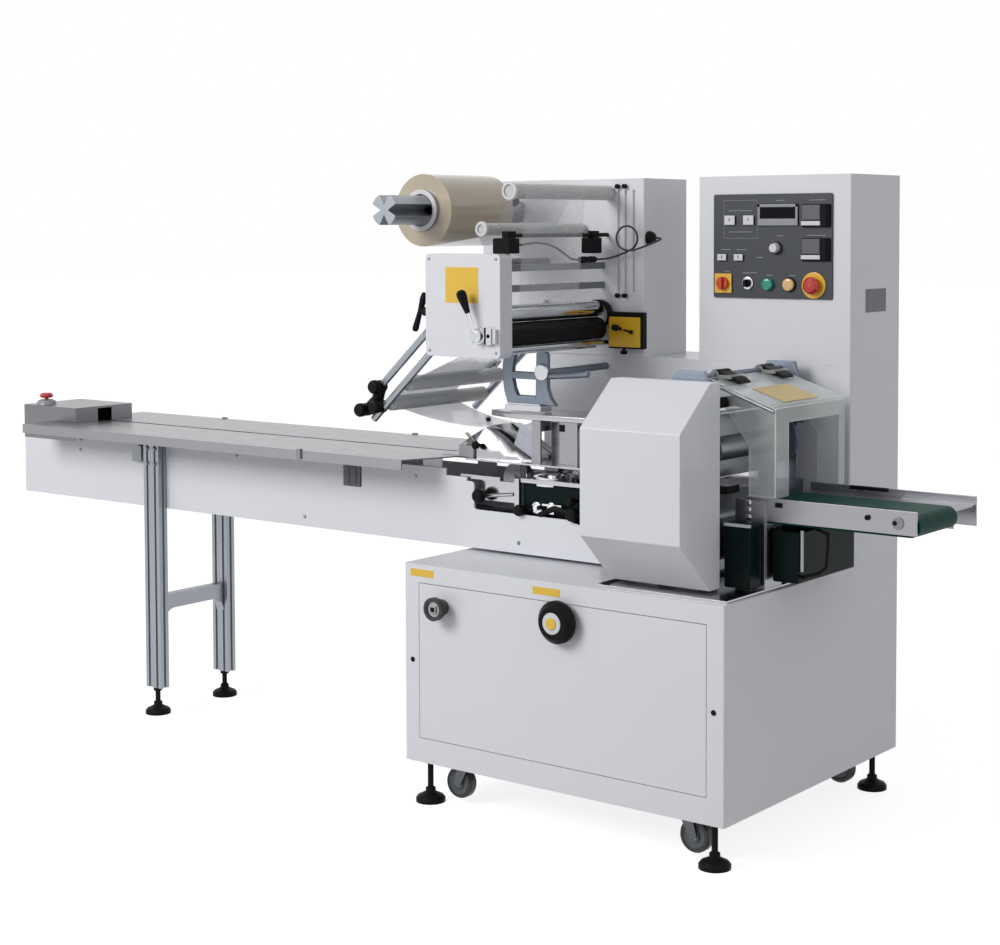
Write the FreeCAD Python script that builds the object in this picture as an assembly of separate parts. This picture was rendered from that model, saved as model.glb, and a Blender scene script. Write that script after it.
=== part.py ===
"""Horizontal flow wrapper: a pillow-packing machine with an infeed table, film head and sealing stations.

X runs along the product flow from infeed to outfeed, Y from the operator's side to the back, Z up.
Sizes are in millimetres. While it is built, x = 0 is the cabinet's outfeed side, y = 0 the cabinet's
front and z = 0 the floor; the finished pieces are moved so that the origin is the middle of the
machine's footprint on the floor.
"""
import FreeCAD
import Part
import math
import os

V = FreeCAD.Vector

# ---------------------------------------------------------------- fits
run_fit = 0.05          # radial clearance of a shaft that turns or slides in its bore
slip = 0.3              # gap between faces that move past each other
bore_depth = 25.0       # how deep a spindle's end sits in its bearing wall
panel_bore = 16.0       # depth of the control bores behind the control panel

# ---------------------------------------------------------------- base cabinet
cabinet_w = 870.0
cabinet_d = 793.0
cabinet_h = 466.0
floor_gap = 101.0       # floor to the cabinet's underside
sheet_r = 4.0           # bend radius of the sheet-metal housings
door_side = 43.0        # door edge to the cabinet's side
door_low = 57.0
door_high = 43.0
door_t = 18.0
door_gap = 1.5

left = -cabinet_w
deck = floor_gap + cabinet_h

# ---------------------------------------------------------------- levelling feet
foot_r = 35.0
foot_rim = 9.0
foot_dome = 24.0
foot_neck_r = 12.0
stem_r = 7.0
nut_r = 12.0
nut_h = 10.0
foot_inset_x = 45.0
foot_inset_y = 37.0

# ---------------------------------------------------------------- casters
caster_inset_x = 133.0
caster_inset_y = 72.0
caster_trail = 22.0
caster_r = 37.0
caster_lift = 12.0      # the wheels hang clear of the floor while the machine stands on its feet
caster_tread = 26.0
caster_axle_r = 5.0
caster_hub_r = 13.0
caster_plate_t = 3.0
caster_plate_w = 80.0
caster_plate_d = 62.0
fork_t = 3.0
fork_disc_r = 24.0
fork_disc_t = 5.0
kingpin_r = 7.0

# ---------------------------------------------------------------- handwheel and knob on the door
wheel_x = -415.0
wheel_z = 485.0
wheel_r = 47.5
wheel_reach = 38.0
wheel_spindle_r = 9.0
knob_x = -754.0
knob_z = 475.0
knob_r = 27.0
knob_reach = 38.0

# ---------------------------------------------------------------- rear housing and electrical cabinet
housing_d = 246.0
housing_h = 463.0
housing_front = cabinet_d - housing_d
housing_top = deck + housing_h
ebox_w = 405.0
ebox_h = 438.0
ebox_top = housing_top + ebox_h

# ---------------------------------------------------------------- control panel
panel_w = 315.0
panel_h = 244.0
panel_t = 4.0
panel_right = -46.0
panel_top = 1425.0
panel_front = housing_front - panel_t
panel_left = panel_right - panel_w

estop_u, estop_v = 269.0, 212.0
estop_collar_r = 30.0
estop_head_r = 20.0
estop_stroke = 5.0
switch_u, switch_v = 28.0, 210.0
switch_plate = 46.0
selector_u, selector_v = 94.0, 209.0
green_u, green_v = 149.0, 211.0
cream_u, cream_v = 205.0, 211.0
dial_u, dial_v = 170.0, 126.0
control_stem_r = 6.0

# ---------------------------------------------------------------- film head
head_x0 = -1065.0
head_w = 504.0
head_front = 545.0
head_d = 195.0
head_h = 438.0
head_x1 = head_x0 + head_w
head_top = housing_top + head_h

slot_xs = (-636.0, -615.0, -591.0)
slot_z0 = 1188.0
slot_z1 = 1441.0
slot_w = 7.0
slot_d = 6.0

# ---------------------------------------------------------------- front bearing box
box_x0 = -877.0
box_w = 223.0
box_z0 = 1047.0
box_h = 241.0
box_front = 90.0
box_d = 45.0
box_r = 12.0
box_back = box_front + box_d
box_x1 = box_x0 + box_w
box_top = box_z0 + box_h

# ---------------------------------------------------------------- film path
film_w = 243.0
film_y = 170.0
film_t = 0.6
roll_x = -950.0
roll_z = 1391.0
roll_r = 87.5
core_r = 38.0
shaft_front = 26.0
shaft_spindle_r = 15.0
groove_a = 17.0         # half-width of the shaft's V grooves at the outside
idler_x = -662.0
idler_z = 1433.0
idler_r = 18.0
idler_front = 138.0
idler_spindle_r = 8.0
low_idler_x = -745.0
low_idler_z = 1345.0
low_idler_r = 14.0
nip_x = -685.0
nip_z = 1098.0
nip_r = 29.0
press_r = 20.0
nip_front = 140.0
nip_back = 520.0
nip_spindle_r = 10.0
press_z = nip_z + nip_r + press_r + 2 * slip

lever_x = -712.0
lever_z = 1099.0
lever_hub_r = 15.0
lever_rod_r = 4.0
lever_grip_r = 10.0
lever_tip = (-761.0, 1187.0)
handle_x = -893.0
handle_z = 1150.0
handle_y = 112.0

# ---------------------------------------------------------------- sensors
rod_x = -670.0
rod_z = 1330.0
rod_r = 5.0
cable_r = 2.5
connector_r = 8.0
connector_y0 = 415.0
connector_y1 = 487.0
gland_y = 566.0
gland_z = 1322.0
gland_r = 17.0
gland_h = 16.0

# ---------------------------------------------------------------- film guide arms
arm_t = 14.0
arm_h = 24.0
near_arm_y = box_back + arm_t / 2
far_arm_y = head_front - arm_t / 2
upper_arm = ((-850.0, 1159.0), (-1066.0, 961.0))
lower_arm = ((-850.0, 1101.0), (-1089.0, 879.0))
guide_places = (0.59, 0.82)      # where the two rollers sit along the lower arm
guide_r = 18.0

# ---------------------------------------------------------------- infeed
line_y = 330.0          # middle of the product's path
table_top = 790.0
table_front = 105.0
table_back = 560.0
table_x0 = -2408.0
front_wing_x1 = -970.0
rear_wing_x1 = -930.0
table_t = 3.0
flange_h = 25.0
slot_half = 8.0
beam_x0 = -2541.0
beam_x1 = -465.0
beam_front = 218.0
beam_back = 443.0
beam_z0 = 575.0
beam_z1 = 762.0
beam_rear_z1 = 745.0
beam_t = 4.0
end_x0 = -2543.0
end_x1 = -2310.0
end_back = 430.0
end_z0 = 735.0
end_z1 = 832.0
end_t = 2.0
infeed_stop_x = -2489.0
infeed_stop_y = 257.0
chain_x0 = -2425.0
chain_x1 = -790.0
chain_top = 784.0
chain_r = 48.0
chain_w = 12.0
chain_t = 9.0
leg_x = -1957.0
leg_w = 60.0
leg_d = 30.0
leg_z0 = 74.0
leg_z1 = 752.0
leg_slot = 8.0
leg_slot_d = 6.0
bar_z0 = 290.0
bar_h = 40.0

# ---------------------------------------------------------------- forming box and fin seal
former_x0 = -960.0
former_x1 = -700.0
former_mouth_half = 96.0
former_half = 58.0
former_mouth = 852.0
former_top = 826.0
former_t = 2.0
fin_x = -640.0
fin_r = 50.0
fin_z0 = 738.0
fin_t = 20.0
fin_shaft_r = 9.0
fin_block_top = 716.0

# ---------------------------------------------------------------- sealing bridge
yoke_y = 300.0
yoke_t = 14.0
yoke_x0 = -800.0
yoke_x1 = -640.0
yoke_z0 = 905.0
yoke_z1 = 1041.0
rail_z = 889.0
rail_t = 16.0
rail_x0 = -837.0
rail_x1 = -552.0

# ---------------------------------------------------------------- end sealing
jaw_x = -150.0
seal_z = 785.0
jaw_r = 79.8
jaw_w = 26.0
jaw_hub_r = 30.0
jaw_shaft_r = 16.0
jaw_length = 250.0
jaw_offset = 80.0
frame_x0 = -240.0
frame_x1 = -64.0
frame_t = 12.0
frame_front = 138.0
frame_back = 500.0
frame_top = 1046.0
tray_t = 6.0
tray_x0 = -338.0
tray_x1 = -8.0
hood_x0 = -330.0
hood_x1 = -76.0
hood_front = -52.0
hood_z0 = 579.0
hood_top = 1020.0

# ---------------------------------------------------------------- clear guard
guard_t = 5.0
guard_y0 = 180.0
guard_y1 = 490.0
guard_x = 15.0
guard_low = 770.0 + 0.3
guard_shoulder = 962.0
hinge_x = -155.0
hinge_z = 1025.0
hinge_r = 5.0

# ---------------------------------------------------------------- outfeed
rail_front = 184.0
rail_back = 475.0
rail_plate = 4.0
rail_left = -60.0
rail_right = 340.0
rail_high = 770.0
rail_low = 720.0
rear_rail_low = 706.0
belt_r = 24.0
belt_t = 3.0
belt_tail_x = -30.0
belt_nose = 346.0
belt_z = 744.0
post_w = 82.0
post_t = 6.0
post_d = 66.0

origin = V((end_x0 + belt_nose) / 2, (hood_front + cabinet_d) / 2, 0)

X = V(1, 0, 0)
Y = V(0, 1, 0)
Z = V(0, 0, 1)


# ================================================================ making shapes
def block(x, y, z):
    """A box between pairs of limits."""
    return Part.makeBox(x[1] - x[0], y[1] - y[0], z[1] - z[0], V(x[0], y[0], z[0]))


def cylinder(radius, start, axis, length):
    """A round bar from a start point."""
    return Part.makeCylinder(radius, length, V(*start), axis)


def turned(profile, start, axis):
    """A solid of revolution from (radius, distance along the axis) points."""
    points = [V(r, 0, h) for r, h in profile]
    face = Part.Face(Part.makePolygon(points + points[:1]))
    solid = face.revolve(V(0, 0, 0), Z, 360)
    solid.Placement = FreeCAD.Placement(V(*start), FreeCAD.Rotation(Z, axis))
    return solid


def outline(points, radius=0.0):
    """A closed wire in the plane z = 0, its corners rounded by one radius or by a third value in a point."""
    count = len(points)
    corners = []
    for i, point in enumerate(points):
        corner = V(point[0], point[1], 0)
        r = point[2] if len(point) > 2 else radius
        before = V(points[i - 1][0], points[i - 1][1], 0) - corner
        after = V(points[(i + 1) % count][0], points[(i + 1) % count][1], 0) - corner
        if r <= 0:
            corners.append((corner, None, corner))
            continue
        half = before.getAngle(after) / 2
        reach = r / math.tan(half)
        before.normalize()
        after.normalize()
        bisector = (before + after).normalize()
        middle = corner + bisector * (r / math.sin(half) - r)
        corners.append((corner + before * reach, middle, corner + after * reach))
    edges = []
    for i, (start, middle, end) in enumerate(corners):
        if middle is not None:
            edges.append(Part.Arc(start, middle, end).toShape())
        following = corners[(i + 1) % count][0]
        if end.distanceToPoint(following) > 1e-6:
            edges.append(Part.LineSegment(end, following).toShape())
    return Part.Wire(edges)


def plate(points, axis, low, high, radius=0.0):
    """A flat piece with an outline across one axis: (y, z) points for X, (x, z) for Y, (x, y) for Z."""
    solid = Part.Face(outline(points, radius)).extrude(V(0, 0, high - low))
    turn = {"x": FreeCAD.Rotation(V(0, 1, 0), V(0, 0, 1), V(1, 0, 0), "ZXY"),
            "y": FreeCAD.Rotation(V(1, 0, 0), 90),
            "z": FreeCAD.Rotation()}[axis]
    shift = {"x": V(low, 0, 0), "y": V(0, high, 0), "z": V(0, 0, low)}[axis]
    solid.Placement = FreeCAD.Placement(shift, turn)
    return solid


def box_points(a, b):
    """The four corners of an upright rectangle between pairs of limits."""
    return [(a[0], b[0]), (a[1], b[0]), (a[1], b[1]), (a[0], b[1])]


def round_along(solid, axis, radius):
    """Rounds the straight edges of a solid that run along one axis."""
    edges = []
    for edge in solid.Edges:
        if edge.Curve.TypeId != "Part::GeomLine":
            continue
        direction = (edge.Vertexes[1].Point - edge.Vertexes[0].Point).normalize()
        if abs(direction.dot(axis)) > 0.999:
            edges.append(edge)
    return solid.makeFillet(radius, edges)


def union(*solids):
    """One solid made of touching solids."""
    return solids[0].fuse(list(solids[1:])).removeSplitter()


def bar_between(start, end, width, height, y):
    """A flat bar whose axis runs in the plane of X and Z between two (x, z) points."""
    run = V(end[0] - start[0], 0, end[1] - start[1])
    solid = Part.makeBox(run.Length, width, height, V(0, -width / 2, -height / 2))
    angle = -math.degrees(math.atan2(run.z, run.x))
    solid.Placement = FreeCAD.Placement(V(start[0], y, start[1]), FreeCAD.Rotation(Y, angle))
    return solid


def bent_bar(points, radius):
    """A round bar or cord along straight runs joined by arcs, each as large as its two runs allow."""
    points = [V(*p) for p in points]
    edges = []
    start = points[0]
    for i in range(1, len(points) - 1):
        back = points[i - 1] - points[i]
        ahead = points[i + 1] - points[i]
        shorter = min(back.Length, ahead.Length)
        turn = math.pi - back.getAngle(ahead)
        reach = 0.45 * shorter
        bend = reach / math.tan(turn / 2)
        print(f"bend radius {bend:.0f}")
        back.normalize()
        ahead.normalize()
        inward = (back + ahead).normalize()
        middle = points[i] + inward * (bend / math.cos(turn / 2) - bend)
        first = points[i] + back * reach
        last = points[i] + ahead * reach
        edges.append(Part.LineSegment(start, first).toShape())
        edges.append(Part.Arc(first, middle, last).toShape())
        start = last
    edges.append(Part.LineSegment(start, points[-1]).toShape())
    path = Part.Wire(edges)
    section = Part.Wire(Part.makeCircle(radius, points[0], points[1] - points[0]))
    solid = path.makePipeShell([section], True, True)
    print(f"cord length {path.Length:.0f}, volume ratio {solid.Volume / (math.pi * radius ** 2 * path.Length):.4f}")
    return solid


# ================================================================ base
def caster_places():
    """Swivel axis (x, y) and heading of the wheel's trail for each caster, in degrees."""
    x0 = left + caster_inset_x
    x1 = -caster_inset_x
    y0 = caster_inset_y
    y1 = cabinet_d - caster_inset_y
    return {"front_left": (x0, y0, 180), "front_right": (x1, y0, 0),
            "rear_left": (x0, y1, 180), "rear_right": (x1, y1, 0)}


def base_cabinet():
    """The painted cabinet with its door recess and the plates and kingpins of its casters."""
    body = round_along(block((left, 0), (0, cabinet_d), (floor_gap, deck)), Z, sheet_r)
    recess = block((left + door_side, -door_side), (0, door_t), (floor_gap + door_low, deck - door_high))
    body = body.cut(recess)
    for x, y, _ in caster_places().values():
        top_plate = block((x - caster_plate_w / 2, x + caster_plate_w / 2),
                          (y - caster_plate_d / 2, y + caster_plate_d / 2),
                          (floor_gap - caster_plate_t, floor_gap))
        pin = cylinder(kingpin_r, (x, y, floor_gap), -Z, caster_plate_t + slip + fork_disc_t)
        body = body.fuse([top_plate, pin])
    return body.removeSplitter()


def cabinet_door():
    """The front access door, flush in its recess, with the bores of the handwheel and the knob."""
    door = block((left + door_side + door_gap, -door_side - door_gap), (0, door_t),
                 (floor_gap + door_low + door_gap, deck - door_high - door_gap))
    for x, z in ((wheel_x, wheel_z), (knob_x, knob_z)):
        door = door.cut(cylinder(wheel_spindle_r + run_fit, (x, 0, z), Y, door_t))
    return door


def foot(x, y, top):
    """A levelling foot: domed sole, neck, lock nut and threaded stem up to what it carries."""
    profile = [(0, 0), (foot_r, 0), (foot_r, foot_rim), (foot_r * 0.86, foot_rim + 6),
               (foot_r * 0.6, foot_dome - 5), (foot_neck_r, foot_dome), (foot_neck_r, foot_dome + 8),
               (stem_r, foot_dome + 12), (stem_r, top - nut_h), (nut_r, top - nut_h), (nut_r, top), (0, top)]
    return turned(profile, (x, y, 0), Z)


def levelling_feet():
    """Four feet under the cabinet and two under the infeed legs."""
    feet = [foot(x, y, floor_gap) for x in (left + foot_inset_x, -foot_inset_x)
            for y in (foot_inset_y, cabinet_d - foot_inset_y)]
    feet += [foot(leg_x, y, leg_z0) for y in (beam_front - leg_d / 2, beam_back + leg_d / 2)]
    return Part.makeCompound(feet)


def caster_fork(place):
    """A caster's fork: disc round the kingpin, two cheeks and the axle."""
    x, y, heading = place
    top = floor_gap - caster_plate_t - slip
    axle_z = caster_lift + caster_r
    inner = caster_tread / 2 + 2
    fork = cylinder(fork_disc_r, (0, 0, top - fork_disc_t), Z, fork_disc_t)
    for side in (-1, 1):
        low, high = sorted((side * inner, side * (inner + fork_t)))
        cheek = plate([(-15, top), (19, top), (caster_trail + 10, axle_z), (caster_trail, axle_z - 10, 7),
                       (caster_trail - 10, axle_z)], "y", low, high)
        fork = fork.fuse(cheek)
    fork = fork.fuse(cylinder(caster_axle_r, (caster_trail, -inner - fork_t, axle_z), Y, 2 * (inner + fork_t)))
    fork = fork.cut(cylinder(kingpin_r + run_fit, (0, 0, top - fork_disc_t), Z, fork_disc_t))
    fork = fork.removeSplitter()
    fork.Placement = FreeCAD.Placement(V(x, y, 0), FreeCAD.Rotation(Z, heading))
    return fork


def caster_wheel(place):
    """A caster's wheel with a rounded tread and a hub on the axle."""
    x, y, heading = place
    half = caster_tread / 2
    bore = caster_axle_r + run_fit
    profile = [(bore, -half - 1.5), (caster_hub_r, -half - 1.5), (caster_hub_r, -half + 3),
               (caster_r - 12, -half + 3), (caster_r - 9, -half), (caster_r - 3, -half), (caster_r, -half + 5),
               (caster_r, half - 5), (caster_r - 3, half), (caster_r - 9, half), (caster_r - 12, half - 3),
               (caster_hub_r, half - 3), (caster_hub_r, half + 1.5), (bore, half + 1.5)]
    angle = math.radians(heading)
    centre = (x + caster_trail * math.cos(angle), y + caster_trail * math.sin(angle), caster_lift + caster_r)
    return turned(profile, centre, Y)


def handwheel():
    """The pitch handwheel: bevelled rim, dished face, hub and a spindle in the door."""
    profile = [(0, -door_t), (wheel_spindle_r, -door_t), (wheel_spindle_r, slip), (16, slip), (16, 8),
               (wheel_r - 12, 8), (wheel_r, 14), (wheel_r, 24), (wheel_r - 12, wheel_reach), (24, wheel_reach),
               (22, wheel_reach - 3), (13, wheel_reach - 3), (12, wheel_reach), (0, wheel_reach)]
    return turned(profile, (wheel_x, 0, wheel_z), -Y)


def adjust_knob():
    """The small adjusting knob: grey cone, black ring and a square key in the middle."""
    profile = [(0, -door_t), (wheel_spindle_r, -door_t), (wheel_spindle_r, slip), (knob_r - 9, slip),
               (knob_r - 3, knob_reach - 12), (knob_r, knob_reach - 12), (knob_r, knob_reach),
               (knob_r - 8, knob_reach), (knob_r - 9, knob_reach - 5), (0, knob_reach - 5)]
    key = block((knob_x - 8, knob_x + 8), (-knob_reach, 5 - knob_reach), (knob_z - 8, knob_z + 8))
    return union(turned(profile, (knob_x, 0, knob_z), -Y), key)


# ================================================================ rear housing, electrical cabinet, panel
def rear_housing():
    """The tall drive housing on the back half of the cabinet."""
    return round_along(block((left, 0), (housing_front, cabinet_d), (deck, housing_top)), Z, sheet_r)


def panel_devices():
    """Place on the panel of each control that turns or presses in."""
    return {"panel_estop": (estop_u, estop_v), "main_switch": (switch_u, switch_v),
            "selector_switch": (selector_u, selector_v), "speed_dial": (dial_u, dial_v)}


def panel_point(u, v):
    """A place on the panel from its top left corner, as (x, z)."""
    return panel_left + u, panel_top - v


def electrical_cabinet():
    """The electrical cabinet on the rear housing, bored behind each control."""
    body = round_along(block((-ebox_w, 0), (housing_front, cabinet_d), (housing_top, ebox_top)), Z, sheet_r)
    for u, v in panel_devices().values():
        x, z = panel_point(u, v)
        body = body.cut(cylinder(control_stem_r + run_fit, (x, housing_front, z), Y, panel_bore))
    return body


def control_panel():
    """The black control panel with its bores."""
    face = plate(box_points((panel_left, panel_right), (panel_top - panel_h, panel_top)), "y",
                 panel_front, housing_front, 5)
    for u, v in panel_devices().values():
        x, z = panel_point(u, v)
        face = face.cut(cylinder(control_stem_r + run_fit, (x, panel_front, z), Y, panel_t))
    return face


def panel_instruments():
    """Counter, two controllers, rockers, two push buttons, and the collars of the other controls."""
    def unit(u, v, depth, radius=2.0):
        x0, z1 = panel_point(u[0], v[0])
        x1, z0 = panel_point(u[1], v[1])
        return plate(box_points((x0, x1), (z0, z1)), "y", panel_front - depth, panel_front, radius)

    def collar(u, v, radius, depth):
        x, z = panel_point(u, v)
        ring = cylinder(radius, (x, panel_front, z), -Y, depth)
        return ring.cut(cylinder(control_stem_r + run_fit, (x, panel_front, z), -Y, depth))

    counter = unit((120, 228), (23, 75), 3).cut(unit((129, 219), (33, 56), 3, 1).translate(V(0, -1.5, 0)))
    pieces = [counter]
    for top in (27, 105):
        pieces.append(unit((241, 303), (top, top + 49), 8))
    for u, v in ((46, 61), (97, 61), (25, 149), (70, 149)):
        pieces.append(unit((u - 11, u + 11), (v - 8, v + 8), 5))
    half = switch_plate / 2
    square = unit((switch_u - half, switch_u + half), (switch_v - half, switch_v + half), 3)
    x, z = panel_point(switch_u, switch_v)
    pieces.append(square.cut(cylinder(control_stem_r + run_fit, (x, panel_front, z), -Y, 3)))
    pieces.append(collar(estop_u, estop_v, estop_collar_r, 3))
    pieces.append(collar(selector_u, selector_v, 13, 4))
    for u, v, radius in ((green_u, green_v, 10), (cream_u, cream_v, 14)):
        x, z = panel_point(u, v)
        button = [(0, 0), (radius + 3, 0), (radius + 3, 3), (radius, 3), (radius, 8), (radius - 2, 10), (0, 10)]
        pieces.append(turned(button, (x, panel_front, z), -Y))
    return Part.makeCompound(pieces)


def stem(x, z, inside, outside):
    """The stem of a panel control, from behind the panel's face to in front of it."""
    return cylinder(control_stem_r, (x, panel_front + inside, z), -Y, inside + outside)


def panel_estop():
    """The panel's emergency stop mushroom; it presses in against its collar."""
    x, z = panel_point(estop_u, estop_v)
    gap = 3 + estop_stroke + slip
    head = turned([(0, gap), (estop_head_r - 5, gap), (estop_head_r, gap + 5), (estop_head_r, gap + 9),
                   (estop_head_r - 6, gap + 15), (0, gap + 16)], (x, panel_front, z), -Y)
    return union(head, stem(x, z, 8, gap))


def turn_switch(u, v, radius, base, height, bar):
    """A turning switch: round body on its collar with a raised grip bar."""
    x, z = panel_point(u, v)
    low = base + slip
    body = turned([(0, low), (radius, low), (radius - 1, low + height), (0, low + height)],
                  (x, panel_front, z), -Y)
    face = panel_front - low - height
    grip = block((x - bar / 2, x + bar / 2), (face - 7, face), (z - radius + 1.5, z + radius - 1.5))
    return union(body, grip, stem(x, z, 8, low))


def speed_dial():
    """The speed dial: fluted skirt and a cap."""
    x, z = panel_point(dial_u, dial_v)
    low = slip
    body = turned([(0, low), (16, low), (15, low + 5), (11, low + 7), (10, low + 17), (0, low + 17)],
                  (x, panel_front, z), -Y)
    return union(body, stem(x, z, 8, low))


# ================================================================ film head
def head_bores():
    """Radius and (x, z) of each shaft that runs in the head's face."""
    return ((shaft_spindle_r, roll_x, roll_z), (idler_spindle_r, idler_x, idler_z),
            (idler_spindle_r, low_idler_x, low_idler_z), (nip_spindle_r, nip_x, nip_z),
            (nip_spindle_r, nip_x, press_z))


def film_head_box():
    """The film head: housing with bearing bores and three vertical setting slots."""
    body = round_along(block((head_x0, head_x1), (head_front, head_front + head_d), (housing_top, head_top)),
                       Z, sheet_r)
    for radius, x, z in head_bores():
        body = body.cut(cylinder(radius + run_fit, (x, head_front, z), Y, bore_depth))
    for x in slot_xs:
        body = body.cut(plate(box_points((x - slot_w / 2, x + slot_w / 2), (slot_z0, slot_z1)), "y",
                              head_front, head_front + slot_d, slot_w / 2 - 0.01))
    return body


def head_fittings():
    """Knobs at the ends of the setting slots, and the domed gland where the sensor cable goes in."""
    pieces = [turned([(0, 0), (gland_r, 0), (gland_r, 6), (gland_r - 3, gland_h - 3), (gland_r - 6, gland_h),
                      (0, gland_h)], (head_x1, gland_y, gland_z), X)]
    for x in slot_xs[:2]:
        for z in (slot_z0 - 8, slot_z1 + 8):
            pieces.append(turned([(0, 0), (5, 0), (6, 4), (6, 10), (4, 12), (0, 12)], (x, head_front, z), -Y))
    return Part.makeCompound(pieces)


def front_bearing_box():
    """The rounded box that carries the front ends of the feed rollers."""
    body = plate(box_points((box_x0, box_x1), (box_z0, box_top)), "y", box_front, box_back, box_r)
    for x, z in ((nip_x, nip_z), (nip_x, press_z)):
        body = body.cut(cylinder(nip_spindle_r + run_fit, (x, box_back, z), -Y, bore_depth))
    body = body.cut(cylinder(lever_hub_r / 2 + run_fit, (lever_x, box_front, lever_z), Y, bore_depth - 10))
    body = body.cut(cylinder(lever_hub_r / 2 + run_fit, (box_x0, handle_y, handle_z), X, bore_depth))
    return body


def tie_bars():
    """Flat bars that hold the bearing box off the film head."""
    bars = [block((x, x + 12), (box_back, head_front), (z - 12, z + 12))
            for x, z in ((-690, 1262), (-690, 1214))]
    bars.append(cylinder(10, (-858, box_back, 1262), Y, head_front - box_back))
    return Part.makeCompound(bars)


def film_roll():
    """The reel of film, a ring on the shaft."""
    end = film_y + film_w
    return turned([(core_r, film_y), (roll_r, film_y), (roll_r, end), (core_r, end)], (roll_x, 0, roll_z), Y)


def roll_shaft():
    """The reel shaft: grooved bar, reel flanges, brake collar and a spindle in the head."""
    bar = cylinder(core_r, (roll_x, shaft_front, roll_z), Y, head_front - 40 - shaft_front)
    inner = core_r * 0.3
    for quarter in range(4):
        groove = plate([(inner, 0), (core_r + 2, -groove_a), (core_r + 2, groove_a)], "y",
                       shaft_front, head_front - 60)
        groove.rotate(V(0, 0, 0), Y, 90 * quarter)
        groove.translate(V(roll_x, 0, roll_z))
        bar = bar.cut(groove)
    end = film_y + film_w
    hub = [(core_r - 6, film_y - 10), (50, film_y - 10), (50, film_y), (core_r - 6, film_y)]
    back = [(core_r - 6, end), (50, end), (50, end + 12), (core_r - 6, end + 12)]
    collar = [(0, head_front - 80), (45, head_front - 80), (45, head_front - 40), (28, head_front - 30),
              (28, head_front - slip), (shaft_spindle_r, head_front - slip),
              (shaft_spindle_r, head_front + bore_depth), (0, head_front + bore_depth)]
    rings = [turned(profile, (roll_x, 0, roll_z), Y) for profile in (hub, back, collar)]
    return union(bar, *rings)


def roller(x, z, radius, front, back, spindle):
    """A cantilevered roller with stepped ends and a spindle in the head."""
    profile = [(0, front), (radius - 4, front), (radius, front + 4), (radius, back), (radius - 4, back + 4),
               (spindle, back + 4), (spindle, head_front + bore_depth), (0, head_front + bore_depth)]
    return turned(profile, (x, 0, z), Y)


def nip_roller(z, radius):
    """A driven feed roller between the bearing box and the head."""
    reach = bore_depth
    profile = [(0, box_back - reach), (nip_spindle_r, box_back - reach), (nip_spindle_r, nip_front),
               (radius, nip_front), (radius, nip_back), (nip_spindle_r, nip_back),
               (nip_spindle_r, head_front + reach), (0, head_front + reach)]
    return turned(profile, (nip_x, 0, z), Y)


def nip_drive_block():
    """The tracking drive block beside the feed rollers, with its top plate and setting knob."""
    body = block((-638, -540), (500, head_front), (1052, 1139))
    lid = block((-641, -537), (497, head_front), (1139, 1146))
    knob = cylinder(9, (-590, 506, 1052), -Z, 12)
    face = cylinder(11, (-604, 500, 1099), -Y, 10)
    return union(body, lid, knob, face)


def release_lever():
    """The roller release lever: hub, round rod and a tapered grip."""
    reach = 14
    y = box_front - lever_grip_r - 6
    hub = turned([(0, slip), (lever_hub_r, slip), (lever_hub_r, slip + reach), (lever_hub_r - 4, slip + reach + 8),
                  (0, slip + reach + 8)], (lever_x, box_front, lever_z), -Y)
    pin = cylinder(lever_hub_r / 2, (lever_x, box_front + bore_depth - 10, lever_z), -Y, bore_depth - 10 + slip)
    run = V(lever_tip[0] - lever_x, 0, lever_tip[1] - lever_z)
    rod = Part.makeCylinder(lever_rod_r, run.Length - 30, V(lever_x, y, lever_z), run)
    grip = turned([(0, 0), (5, 0), (lever_grip_r, 38), (lever_grip_r - 2, 48), (0, 52)], (0, 0, 0), Z)
    grip.Placement = FreeCAD.Placement(V(lever_x, y, lever_z) + run * (1 - 48 / run.Length),
                                       FreeCAD.Rotation(Z, run))
    return union(hub, pin, rod, grip)


def side_handle():
    """The clamping handle on the box's infeed side."""
    pin = cylinder(lever_hub_r / 2, (box_x0 + bore_depth, handle_y, handle_z), -X, bore_depth + slip)
    hub = cylinder(11, (box_x0 - slip, handle_y, handle_z), -X, 22)
    arm = turned([(0, -50), (6, -50), (8, -44), (6, 0), (9, 34), (7, 46), (0, 48)], (0, 0, 0), Z)
    arm.Placement = FreeCAD.Placement(V(box_x0 - 36, handle_y, handle_z), FreeCAD.Rotation(Z, V(0.35, 0, 1)))
    link = cylinder(6, (box_x0 - slip, handle_y, handle_z), -X, 36)
    return union(pin, hub, link, arm)


def sensor_bar():
    """The rod across the film path with its two sensors."""
    rod = cylinder(rod_r, (rod_x, 132, rod_z), Y, head_front - 132)
    front_eye = round_along(block((-702, -655), (125, 165), (1288, 1324)), Y, 3)
    front_clamp = block((rod_x - 9, rod_x + 9), (130, 160), (1324, rod_z + 10))
    rear_eye = round_along(block((-694, -656), (468, 500), (1285, 1324)), Y, 3)
    rear_clamp = block((rod_x - 9, rod_x + 9), (472, 496), (1324, rod_z + 10))
    return union(rod, front_eye, front_clamp, rear_eye, rear_clamp)


cable_lead = [(-668, 165, 1308), (-668, 195, 1308), (-668, 240, 1313), (-668, 292, 1310), (-667, 338, 1296),
              (-665, 368, 1279), (-664, 391, 1270), (-664, connector_y0, 1270)]
cable_tail = [(-664, connector_y1, 1270), (-664, 508, 1270), (-651, 524, 1272), (-628, 530, 1279),
              (-604, 528, 1287), (-579, 525, 1296), (-563, 521, 1314), (-564, 517, 1338), (-582, 513, 1353),
              (-605, 509, 1349), (-618, 506, 1329), (-612, 504, 1306), (-594, 503, 1293), (-571, 504, 1291),
              (-548, 509, 1298), (-528, 524, 1308), (-515, 545, 1317), (-523, gland_y, gland_z),
              (head_x1 + gland_h, gland_y, gland_z)]


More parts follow.
